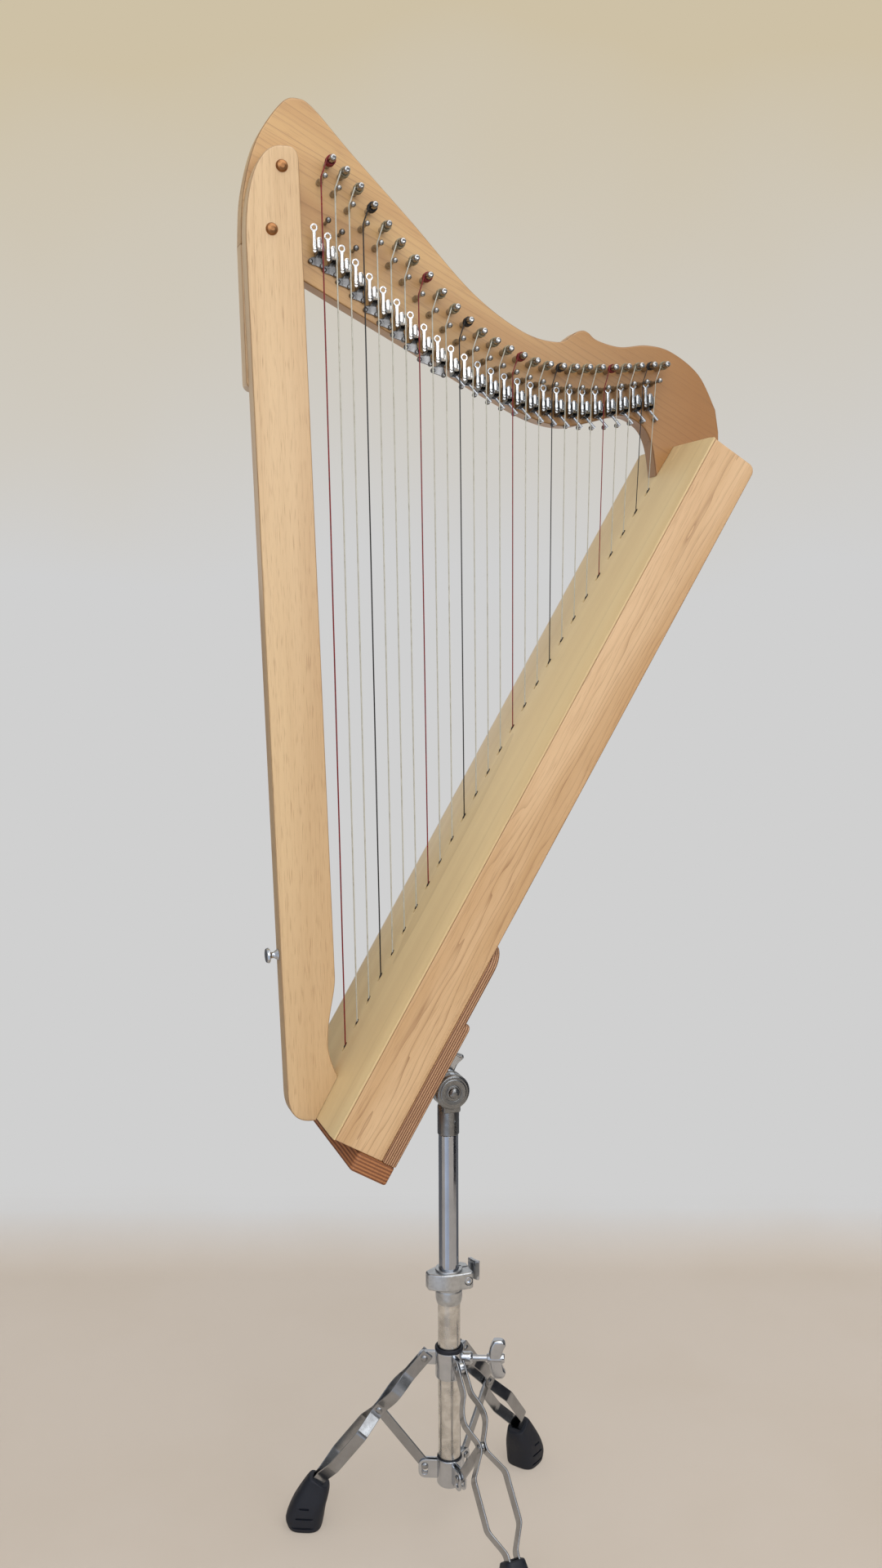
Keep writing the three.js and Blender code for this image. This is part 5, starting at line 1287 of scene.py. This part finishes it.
class HARP_OT_levers(HarpOperator, bpy.types.Operator):
    """Make the sharping levers and their brackets"""
    bl_idname = "harp.levers"
    bl_label = "Levers"

    def execute(self, context):
        brackets = []
        for plan in PLANS:
            place = shift(*plan["pivot"])
            brackets += [(mesh, place) for mesh in self.bracket(plan)]
        piece("lever_brackets", joined(*brackets), HARP, "harp", bracket_metal(), "nickel", "neck")
        arms = [(self.arm(plan), shift(*plan["pivot"])) for plan in PLANS[FIRST_TREBLE_LEVER - 1:]]
        piece("lever_arms", joined(*arms), HARP, "harp", nickel(), "nickel")
        lever = self.lever()
        for plan in PLANS:
            number = str(plan["number"]).zfill(2)
            body = "lever_" + number
            # Levers from the third treble one on take the painted shaded copy of the nickel, the others its painted lit
            # copy
            finish = treble_lever_metal() if plan["number"] >= FIRST_TREBLE_LEVER + 2 else lever_metal()
            piece("lever_blade_" + number, lever, HARP @ shift(*plan["pivot"]), body, finish, "nickel", body)
        return {"FINISHED"}

    def bracket(self, plan):
        """A channel on the neck whose cheeks carry the axle, and an arm down to its screw."""
        depth = -plan["pivot"].y
        reach = -2.5
        made = []
        for x0, x1 in ((-4.1, -3.4), (1.5, 2.3)):
            cheek = [
                (reach, -2.5), (reach, 2.5), (-0.5, 7.2), (depth - 1.4, 10),
                (depth, 10), (depth, -6), (depth - 1.4, -6), (-0.5, -4.2),
            ]
            made.append(plate(softened(cheek, 1.0, closed=True), x0, x1, 0.15, (), ACROSS))
        base = rounded_box(-4.1, 2.3, -6, 10, 0.8, 3)
        made.append(panel(base, depth - 1.4, depth, 0.3))
        head = lathed(softened([(0, -3.4), (1.4, -3.3), (2.2, -2.5), (2.3, -1.4), (2.3, 0), (0, 0)], 0.3), 20,
                      Matrix.Rotation(-math.pi / 2, 4, "X"))
        if plan["number"] >= FIRST_TREBLE_LEVER:
            spots = [(7, -14.5)]
        else:
            spots = [(-8, -9), (2.5, -13)]
            foot = [(-9.6, -7), (-6, -5), (2.3, -4), (4.6, -12), (2.5, -15.2), (-1, -13.4), (-8, -11.4)]
            made.append(panel(softened(foot, 1.4, closed=True), depth - 1.6, depth, 0.4))
        made += [moved(head, shift(x, depth, z)) for x, z in spots]
        cap = lathed(softened([(0, 0), (1.25, 0), (1.25, 0.5), (0.9, 0.9), (0, 1)], 0.2), 16, TO_RIGHT)
        made.append(moved(cap, shift(2.3, 0, 0)))
        return made

    def arm(self, plan):
        """The bent wire from a treble bracket down to its screw."""
        depth = -plan["pivot"].y
        return wires([([(-1, depth - 0.6, -4.6), (0.4, 3.4, -6.6), (7, 1.6, -14.8), (7, depth, -14.8)], 1.3)], 12)

    def lever(self):
        """The axle, the cam between the cheeks and the blade that ends in an eye."""
        middle, half, ring = BLADE_MIDDLE, BLADE_HALF, RING_RADIUS
        spread = math.degrees(math.acos(half / ring))
        blade = arc(middle, -2, half, 180, 360, 10) + [(middle + half, 4)]
        blade += bezier(blade[-1], (middle + half * 0.7, 9), (middle + half, BLADE_RISE - ring), steps=6)
        blade += arc(middle, BLADE_RISE, ring, -spread, 180 + spread, 24)
        blade += bezier(blade[-1], (middle - half * 0.7, 9), (middle - half, 4), steps=6)
        eye = arc(middle, BLADE_RISE, ring * 0.52, 0, 360, 16)[:-1]
        handle = panel(blade, -0.9, 0.9, 0.5, [eye])
        cam = [(-2.5, 0), (-1.6, -2.1), (1.6, -2.1), (2.5, 0), (1.3, 4.6), (0, 5.2), (-1.3, 4.6)]
        roller = plate(softened(cam, 0.9, closed=True), -3.2, 1.2, 0.5, (), ACROSS)
        axle = lathed(softened([(0, -7.8), (1.3, -7.8), (1.3, 1.2), (0, 1.2)], 0.3), 20, TO_RIGHT)
        oval = panel(rounded_box(-2.2, 2.2, -5, 5, 2.1, 5), -1.9, -0.2, 0.8)
        oval.transform(shift(-2.2, -1.5, 4.6))
        cap = lathed(softened([(0, 0), (2.0, 0), (2.0, 0.6), (1.2, 1.1), (0, 1.2)], 0.3), 20, TO_FRONT)
        cap.transform(shift(middle, -0.7, 0))
        return joined(handle, roller, axle, oval, cap)


class HARP_OT_strings(HarpOperator, bpy.types.Operator):
    """Make the strings with their windings, and the rib that holds them"""
    bl_idname = "harp.strings"
    bl_label = "Strings"

    def execute(self, context):
        settings = context.scene.harp_strings
        groups = {"red": [], "black": [], "clear": [], "shaded_clear_turns": []}
        for plan in PLANS:
            place = (plan["number"] - 1) % settings.octave
            colour = "red" if place == 0 else "black" if place == 3 else "clear"
            straight, turns = self.route(plan, settings.winding_turns)
            if colour == "clear":
                groups["shaded_clear_turns"].append((turns, plan["diameter"] / 2))
            else:
                straight += turns[1:]
            groups[colour].append((straight, plan["diameter"] / 2))
        finishes = {
            "red": plain("Red Nylon", tuple(settings.red), tint(96, 12, 20), 0.25, 300.0, 0.05),
            "black": plain("Black Nylon", tuple(settings.black), tint(12, 12, 16), 0.25, 300.0, 0.05),
            "clear": plain("Clear Nylon", tuple(settings.clear), tint(166, 164, 150), 0.2, 300.0, 0.05),
            # Olive-grey for the clear strings' turns: painted shade, the pin and its shadow as seen through the clear
            # nylon
            "shaded_clear_turns": plain("Wound Clear Nylon", tint(150, 140, 114), tint(104, 94, 70), 0.25, 300.0, 0.05),
        }
        for colour, lines in groups.items():
            piece("strings_" + colour, wires(lines, 10), HARP, "harp", finishes[colour], "nylon", "strings")
        # Dark domes at the strings' feet on the soundboard: painted shade of the string slots
        seed = lathed(softened([(0, -0.5), (1.5, -0.4), (1.9, 0), (1.3, 0.5), (0, 0.6)], 0.2), 20, TO_RIGHT)
        long = Matrix.Diagonal((1, 1, 1.7, 1))
        feet = [(BOX.inverted() @ HARP @ shift(*p["foot"])).to_translation() for p in PLANS]
        seeds = joined(*[(seed, Matrix.Translation(foot) @ long) for foot in feet])
        piece("slot_shade_seeds", seeds, BOX, "harp", string_slot_shade(), "nylon")
        rows = []
        half = RIB_WIDTH / 2
        front = BOARD_THICKNESS + 2 * SEAT_GAP
        low, high = END_THICKNESS + SEAT_GAP, BOX_LENGTH - END_THICKNESS - SEAT_GAP
        for i in range(25):
            up = low + (high - low) * i / 24
            near, far = front - belly(half, up) + 0.1, front - belly(half, up) + RIB_THICKNESS
            rows.append([(near, -half, up), (near, half, up), (far, half * 0.8, up), (far, -half * 0.8, up)])
        piece("string_rib", grid(rows, closed=True), BOX, "harp", maple_plain(), "nylon", "strings")
        return {"FINISHED"}

    def route(self, plan, turns):
        foot, top, tuning = plan["foot"], plan["top"], plan["tuning"]
        rise = (top - foot).normalized()
        anchor = foot - rise * 9 / math.sin(BOX_LEAN)
        wrap = TUNING_PIN_RADIUS + plan["diameter"] / 2 + 0.05
        pitch = plan["diameter"] * 1.04
        points = [tuple(anchor), tuple(foot), tuple(foot.lerp(top, 0.5)), tuple(top)]
        turned = []
        steps = 14
        total = round(turns * steps)
        for i in range(total + 1):
            share = i / steps
            angle = math.pi - 2 * math.pi * share
            y = -STANDOFF + min(pitch * share, STANDOFF - 2 * plan["diameter"])
            turned.append((tuning.x + wrap * math.cos(angle), y, tuning.z + wrap * math.sin(angle)))
        return points + turned[:1], turned


class HARP_OT_tilter(HarpOperator, bpy.types.Operator):
    """Make the tilter: two discs on one bolt, the flange and the handled nut"""
    bl_idname = "harp.tilter"
    bl_label = "Tilter"

    def execute(self, context):
        front, split, back = -16, -4, 8
        r, rim = 17.6, 2

        def disc(y0, y1):
            return lathed(softened(
                [(0, -y1), (r - rim, -y1), (r, -y1 + rim), (r, -y0 - rim), (r - rim, -y0), (0, -y0)], 1.2,
            ), 56, TO_FRONT)
        dome = [(0, 21.2), (2.8, 20.6), (4.9, 19), (5.6, 17.2), (6.2, 17.2), (7.4, 17.0), (7.4, 14), (0, 14)]
        dish = softened([(8.6, 15.9), (8.6, 16.5), (12.4, 16.9), (13.6, 16.4), (13.6, 15.9)], 0.4)
        bolt = lathed(softened(dome, 0.5), 40, TO_FRONT)
        stem = lathed(softened([(0, -46), (10.9, -46), (10.9, -18), (9.6, -14), (0, -14)], 1.0), 48)
        hole = lathed([(0, 9), (1.3, 9), (1.3, 12), (0, 12)], 16, TO_FRONT)
        stem = trimmed(stem, moved(hole, shift(3.2, 0, -31)))
        web = panel(softened([(-9, -22), (9, -22), (9, -6), (-9, -6)], 2, closed=True), -12, split, 1.5)
        plug = lathed([(0, -66), (8.5, -66), (8.5, -44), (0, -44)], 32)
        shaft = lathed([(0, -18), (3.7, -18), (3.7, 16), (0, 16)], 24, TO_FRONT)
        lower = joined(disc(front, split), lathed(dish, 48, TO_FRONT), bolt, stem, web, plug, shaft)
        piece("tilter_stem", lower, TILTER, "tilter", tilter_metal(), "cast_metal", "tilter_lower")
        behind = SEAT_GAP - PIVOT_BEHIND_BOARD
        flange = plate(rounded_box(-33, 33, -23, 23, 4), -behind - 4, -behind, 1.0, (), FACING_BACK)
        outline = [(behind + 1, -9), (0, -9), (0, 9), (behind + 1, 9)]
        arm = panel(softened(outline, 1.5, closed=True), split + 0.4, back, 1.6)
        screw = lathed(softened([(0, 7), (2.5, 6.9), (4.2, 5.6), (4.5, 4), (0, 4)], 0.4), 24, TO_RIGHT)
        screws = [moved(screw, shift(behind, y, z)) for y in (-14, 14) for z in (-24, 24)]
        upper = joined(flange, arm, disc(split + SEAT_GAP, back), *screws)
        place = BOX @ shift(PIVOT_DEPTH, 0, PIVOT_UP_BOX)
        piece("tilter_flange", upper, place, "harp", tilter_metal(), "nickel", "tilter_upper")
        self.handle(back)
        return {"FINISHED"}

    def handle(self, back):
        y0, y1 = back + SEAT_GAP, back + SEAT_GAP + 10
        clear = STEM_RADIUS + 2 * SEAT_GAP
        nut = lathed(softened([(0, -y1), (8, -y1), (8.5, -y1 + 1), (8.5, -y0), (0, -y0)], 0.5), 6, TO_FRONT, angle=20)
        side = spline([(0, 7.4), (7, 7), (15, 5.6), (23, 6), (28, 8.6), (31, 10)], 4)
        end = arc(31.6, 7, 2.4, 70, 0, 6)
        half = side + end
        wing = panel(half + [(x, -z) for x, z in reversed(half)], clear, y1 - 2, 1.9)
        lip = softened([(27.5, 9.4), (33, 9.4), (33.6, 0), (33, -9.4), (27.5, -9.4), (28.6, 0)], 2, closed=True)
        grip = panel(lip, clear, y1, 2.4)
        place = TILTER @ Matrix.Rotation(math.radians(-67), 4, "Y")
        piece("tilter_wing", joined(nut, wing, grip), place, "tilter_handle", nickel(), "nickel", "tilter_handle")


class HARP_OT_tubes(HarpOperator, bpy.types.Operator):
    """Make the two telescoping tubes"""
    bl_idname = "harp.tubes"
    bl_label = "Tubes"

    def execute(self, context):
        rows = (
            ("upper_pipe", UPPER_TUBE_RADIUS, 1.2, 130, 419.7, "upper_tube", chrome(), "upper_tube"),
            ("lower_pipe", LOWER_TUBE_RADIUS, 1.0, 55.3, CLAMP_SEAT, "lower_tube", worn_chrome(), "lower_tube"),
        )
        for name, outer, wall, low, high, body, material, node in rows:
            corners = [(outer - wall, low), (outer, low), (outer, high), (outer - wall, high)]
            profile = softened(corners, 0.3, closed=True)
            piece(name, lathed(profile, 72, closed=True), STAND, body, material, "chrome", node)
        return {"FINISHED"}


class HARP_OT_clamp(HarpOperator, bpy.types.Operator):
    """Make the height clamp with its bolt and cam lever"""
    bl_idname = "harp.clamp"
    bl_label = "Clamp"

    def execute(self, context):
        middle = (CLAMP_BOTTOM + CLAMP_TOP - 2) / 2
        outline = [(-23, 4), (-23, -4)]
        outline += bezier((-23, -4), (-11.5, -15), (0, -15)) + [(17.5, -15)]
        outline += bezier((17.5, -15), (21.5, -15), (21.5, -11)) + [(21.5, 9), (17.5, 13), (0, 13)]
        outline += bezier((0, 13), (-11.5, 13), (-23, 4))[:-1]
        collar = plate(outline, CLAMP_BOTTOM, CLAMP_TOP - 2, 1.6)
        ring = lathed(softened([(0, CLAMP_TOP - 5), (13.6, CLAMP_TOP - 5), (13.6, CLAMP_TOP), (0, CLAMP_TOP)], 0.8), 56)
        sleeve = lathed(softened(
            [(0, 245), (12.2, 245), (13.4, 250), (13.4, 258), (12.9, 260), (13.4, 261), (13.4, 264), (0, 264)], 0.6,
        ), 56)
        bore = lathed([(0, 200), (11.6, 200), (11.6, CLAMP_SEAT), (10.3, CLAMP_SEAT), (10.3, 300), (0, 300)], 48)
        head = lathed([(0, 12), (4.5, 12), (4.5, 20), (0, 20)], 32, TO_FRONT)
        head.transform(shift(16, 0, middle))
        gap = plate([(5, -1.2), (40, -1.2), (40, 1.2), (5, 1.2)], 240, 300, 0.01)
        body = joined(
            trimmed(collar, bore, head, gap), trimmed(ring, bore, gap), trimmed(sleeve, bore, gap),
        )
        piece("clamp_casting", body, STAND, "lower_tube", cast_metal(), "cast_metal", "clamp_collar")
        socket = lathed([(0, 13), (2.2, 13), (2.2, 20), (0, 20)], 6, TO_FRONT)
        screw = softened([(0, 14.6), (3.6, 14.6), (4.2, 14), (4.2, 11.7), (2.6, 11.7), (2.6, -19.1), (0, -19.1)], 0.4)
        bolt = trimmed(lathed(screw, 32, TO_FRONT), socket)
        piece("clamp_screw", bolt, STAND @ shift(16, 0, middle), "lower_tube", nickel(), "nickel", "clamp_bolt")
        self.lever(middle)
        return {"FINISHED"}

    def lever(self, middle):
        x, y, t, wrap = 6.1, 4.5, 3, 20
        shape = [(0, -y), (x, -y)]
        shape += bezier((x, -y), (x + t, -y - t), (x + t, -wrap)) + [(x + 2 * t, -wrap)]
        shape += bezier((x + 2 * t, -wrap), (x + 3 * t, y - t), (x + t, y)) + [(0, y)]
        arm = plate(softened(shape, 0.6, closed=True), -7, 7, 0.9)
        inner = bezier((x + 0.6 * t, -6), (x + t, 3 - wrap), (x + t + 6, -1 - wrap))
        outer = bezier((x + 1.9 * t, -6), (x + 2.2 * t, 6 - wrap), (x + t + 7.5, 1.2 - wrap))
        tail = plate(inner + outer[::-1], -7, 13, 0.8)
        barrel = lathed(softened([(0, -7), (4.5, -7), (4.5, 7), (0, 7)], 0.8), 32)
        slot = plate([(-20, -20), (3.2, -20), (3.2, 3.2), (-20, 3.2)], -2.9, 2.9, 0.01)
        place = STAND @ shift(16, 17.8, middle)
        cam_lever = trimmed(joined(barrel, arm, tail), slot)
        piece("clamp_cam_lever", cam_lever, place, "clamp_lever", nickel(), "nickel", "clamp_lever")


def radial(azimuth):
    return STAND @ turn_about("Z", azimuth)


class HARP_OT_hubs(HarpOperator, bpy.types.Operator):
    """Make the tripod's two hubs and the wing bolt"""
    bl_idname = "harp.hubs"
    bl_label = "Hubs"

    def execute(self, context):
        bottom, height = 167, LEG_PIVOT_HEIGHT
        sleeve = lathed(softened(
            [(11.6, bottom), (13.6, bottom), (14, bottom + 1.4), (14, 195), (11.6, 195)], 0.5, closed=True,
        ), 56, closed=True)
        meshes = [sleeve]
        for azimuth in LEG_AZIMUTHS.values():
            ear = [(12, height - 7), *arc(LEG_PIVOT_RADIUS, height, 7, -90, 90, 16), (12, height + 7)]
            meshes.append(moved(panel(ear, -2.4, 2.4, 0.7), turn_about("Z", azimuth)))
        boss = lathed(softened([(0, 11.9), (6.5, 11.9), (6.5, 21.5), (5.2, 24), (3.2, 24), (0, 24)], 0.6), 32, TO_RIGHT)
        meshes.append(moved(boss, turn_about("Z", HUB_BOLT_AZIMUTH) @ shift(0, 0, height)))
        bore = lathed([(0, 100), (11.55, 100), (11.55, 300), (0, 300)], 48)
        hub = trimmed(joined(*meshes[1:]), bore)
        piece("upper_hub_casting", joined(sleeve, hub), STAND, "upper_hub", nickel(), "nickel", "upper_hub")
        seal = lathed(softened([(11.6, 195), (14.4, 195), (14.4, 199), (11.6, 199)], 1.2, closed=True), 56, closed=True)
        piece("upper_hub_seal", seal, STAND, "upper_hub", rubber(), "rubber")
        self.wing_bolt(height)
        self.lower_hub()
        return {"FINISHED"}

    def wing_bolt(self, height):
        stem = lathed(softened([(0, 11.6), (3, 11.6), (3, 42), (0, 42)], 0.5), 28, TO_RIGHT)
        barrel = lathed(softened([(0, 38), (4.6, 38), (5.2, 41), (5.2, 53), (4.4, 56), (0, 56)], 0.9), 32, TO_RIGHT)
        wing = [(40, -4), (40, 4)]
        wing += bezier((40, 4), (40, 12), (45.1, 20)) + bezier((45.1, 20), (57, 22), (57, 14))
        wing += bezier((57, 14), (48.5, 0), (57, -14)) + bezier((57, -14), (57, -22), (45.1, -20))
        wing += bezier((45.1, -20), (40, -12), (40, -4))[:-1]
        blade = panel(wing, -5, 5, 2.6)
        place = STAND @ turn_about("Z", HUB_BOLT_AZIMUTH) @ shift(0, 0, height)
        casting = joined(stem, barrel, blade)
        piece("wing_bolt_casting", casting, place, "hub_wing_bolt", nickel(), "nickel", "hub_wing_bolt")

    def lower_hub(self):
        low, pivot, travel, end = 52, BRACE_PIVOT_HEIGHT, 6.2, 6.5
        cup = lathed(softened(
            [(0, low), (11.5, low), (13, low + 2.4), (13, 80.2), (12.4, 81), (11.6, 81), (11.6, 55), (0, 55)], 0.6,
        ), 56)
        forks = []
        for azimuth in LEG_AZIMUTHS.values():
            for y0, y1 in ((-3.7, -1.7), (1.7, 3.7)):
                shape = [(12, pivot - travel - end), *arc(LEG_PIVOT_RADIUS, pivot - travel, end, -90, 0, 8),
                         *arc(LEG_PIVOT_RADIUS, pivot, end, 0, 90, 8), (12, pivot + end)]
                slot = arc(LEG_PIVOT_RADIUS, pivot, 3, 0, 180, 8)
                slot += arc(LEG_PIVOT_RADIUS, pivot - travel, 3, 180, 360, 8)
                forks.append(moved(panel(shape, y0, y1, 0.5, [slot]), turn_about("Z", azimuth)))
        piece("lower_hub_casting", joined(cup, *forks), STAND, "lower_tube", nickel(), "nickel", "lower_hub")
        ring = [(11.4, 80.6), (12.6, 80.6), (12.6, 82.2), (11.4, 82.2)]
        seal = lathed(softened(ring, 0.5, closed=True), 48, closed=True)
        piece("lower_hub_seal", seal, STAND, "lower_tube", rubber(), "rubber")


def leg_place(name):
    pivot = shift(LEG_PIVOT_RADIUS, 0, LEG_PIVOT_HEIGHT)
    return radial(LEG_AZIMUTHS[name]) @ pivot @ Matrix.Rotation(LEG_ANGLE, 4, "Y")


def rivet(half):
    """A pin with a domed head at both ends."""
    profile = [(0, -half - 1.6), (1.8, -half - 1.5), (3.3, -half - 0.6), (3.6, -half), (2.4, -half), (2.4, half)]
    profile += [(3.6, half), (3.3, half + 0.6), (1.8, half + 1.5), (0, half + 1.6)]
    return lathed(softened(profile, 0.3), 24, TO_FRONT)


class HARP_OT_legs(HarpOperator, bpy.types.Operator):
    """Make the legs, their braces and rivets"""
    bl_idname = "harp.legs"
    bl_label = "Legs"

    def execute(self, context):
        thickness = 1.8
        inner = [(-6, 2.7), (6, 2.7), (25, 3), (35.5, 8.2), (44.7, 10.8), (52, 10.5), (61.7, 6.1), (70, 1.75)]
        inner += [(78, 1.75), (100, 16.3), (146, 16.3), (168, 4.2), (192, 4.2)]
        line = softened(inner, 3.5, steps=4)
        outer = [(x, y + thickness) for x, y in line]
        strip = plate(line + outer[::-1], -6, 6, 0.5)
        other = plate([(x, -y) for x, y in line + outer[::-1]], -6, 6, 0.5)
        meshes = [strip, other, rivet(4.4), moved(rivet(3.4), shift(ARM_LENGTH, 0, 0))]
        leg = joined(*meshes)
        length = ARM_LENGTH
        bar = arc(length, 0, 5, -90, 90, 16) + arc(0, 0, 5, 90, 270, 16)
        hole = arc(0, 0, 2.9, 0, 360, 20)[:-1]
        brace = joined(panel(bar, -1.4, 1.4, 0.4, [hole]), moved(rivet(4.0), shift(length, 0, 0)))
        for name in LEG_AZIMUTHS:
            place = leg_place(name)
            piece("leg_strips_" + name, leg, place, "leg_" + name, leg_steel(), "nickel", "leg_" + name)
            spot = place @ shift(ARM_LENGTH, 0, 0) @ Matrix.Rotation(math.pi - 2 * LEG_ANGLE, 4, "Y")
            piece("brace_bar_" + name, brace, spot, "brace_" + name, leg_steel(), "nickel", "brace_" + name)
        return {"FINISHED"}


class HARP_OT_feet(HarpOperator, bpy.types.Operator):
    """Make the rubber feet"""
    bl_idname = "harp.feet"
    bl_label = "Feet"

    def execute(self, context):
        # Each row: how far out and how high its inner and its outer edge are, and half its width
        ends = (
            (128, 46.2, 141.5, 54.8, 8.4), (124.8, 44.8, 144.2, 55.2, 10.4), (124, 41, 148.6, 50, 11.4),
            (124.7, 35, 155, 40.5, 13.4), (126.4, 28, 160.8, 31, 15.6), (128.2, 21, 165.4, 21.5, 17),
            (129.8, 12, 168.8, 12, 17.5), (130.8, 6, 167.4, 5, 17.4), (132, 1.6, 165.4, 1.4, 16.8),
            (134, 0, 163.4, 0, 15.4),
        )
        sides = self.section()
        rows = []
        for near, near_up, far, far_up, half in spline(ends, 3):
            low, high = Vector((near, 0, max(near_up, 0))), Vector((far, 0, max(far_up, 0)))
            rows.append([low.lerp(high, 0.5 + c / 2) + Vector((0, half * s, 0)) for c, s in sides])
        to_leg = shift(LEG_PIVOT_RADIUS, 0, LEG_PIVOT_HEIGHT) @ Matrix.Rotation(LEG_ANGLE, 4, "Y")
        pocket = moved(plate([(0, -6.1), (192.3, -6.1), (192.3, 6.1), (0, 6.1)], -6.3, 6.3, 0.01), to_leg)
        grooves = []
        for height, half, length in ((6, 17.4, 26), (16, 17.2, 18), (26, 16, 10)):
            line = rounded_box(147.6 - length / 2, 147.6 + length / 2, height - 1, height + 1, 0.9, 3)
            grooves += [panel(line, half - 1.5, 20, 0.01), panel(line, -20, 1.5 - half, 0.01)]
        foot = smooth(trimmed(grid(rows, closed=True), pocket, joined(*grooves)), 40)
        for name, azimuth in LEG_AZIMUTHS.items():
            piece("foot_pad_" + name, foot, radial(azimuth), "leg_" + name, rubber(), "rubber", "foot_" + name)
        return {"FINISHED"}

    def section(self):
        """A rounded rectangle, from -1 to 1 both ways."""
        def swell(value):
            return math.copysign(abs(value) ** 0.62, value)
        angles = [2 * math.pi * i / 32 for i in range(32)]
        return [(swell(math.cos(a)), swell(math.sin(a))) for a in angles]


OPERATORS = (
    HARP_OT_stage, HARP_OT_soundbox, HARP_OT_plywood, HARP_OT_neck, HARP_OT_pillar, HARP_OT_pins, HARP_OT_levers,
    HARP_OT_strings, HARP_OT_tilter, HARP_OT_tubes, HARP_OT_clamp, HARP_OT_hubs, HARP_OT_legs, HARP_OT_feet,
)


class HARP_PT_parts(bpy.types.Panel):
    """The harp's pieces, each with a button that makes it"""
    bl_idname = "HARP_PT_parts"
    bl_label = "Lever Harp"
    bl_space_type = "VIEW_3D"
    bl_region_type = "UI"
    bl_category = "Harp"

    def draw(self, context):
        layout = self.layout
        for operator in OPERATORS:
            layout.operator(operator.bl_idname)
        for name, settings in SETTINGS.items():
            box = layout.box()
            for label in settings.__annotations__:
                box.prop(getattr(context.scene, name), label)


SETTINGS = {
    "harp_woods": HarpWoodSettings,
    "harp_metals": HarpMetalSettings,
    "harp_strings": HarpStringSettings,
    "harp_stage": HarpStageSettings,
}
CLASSES = (*SETTINGS.values(), *OPERATORS, HARP_PT_parts)


def register():
    for kind in CLASSES:
        bpy.utils.register_class(kind)
    for name, settings in SETTINGS.items():
        setattr(bpy.types.Scene, name, PointerProperty(type=settings))


def unregister():
    for name in SETTINGS:
        delattr(bpy.types.Scene, name)
    for kind in reversed(CLASSES):
        bpy.utils.unregister_class(kind)


def main():
    register()
    for operator in OPERATORS:
        module, name = operator.bl_idname.split(".")
        getattr(getattr(bpy.ops, module), name)()


if __name__ == "__main__":
    main()
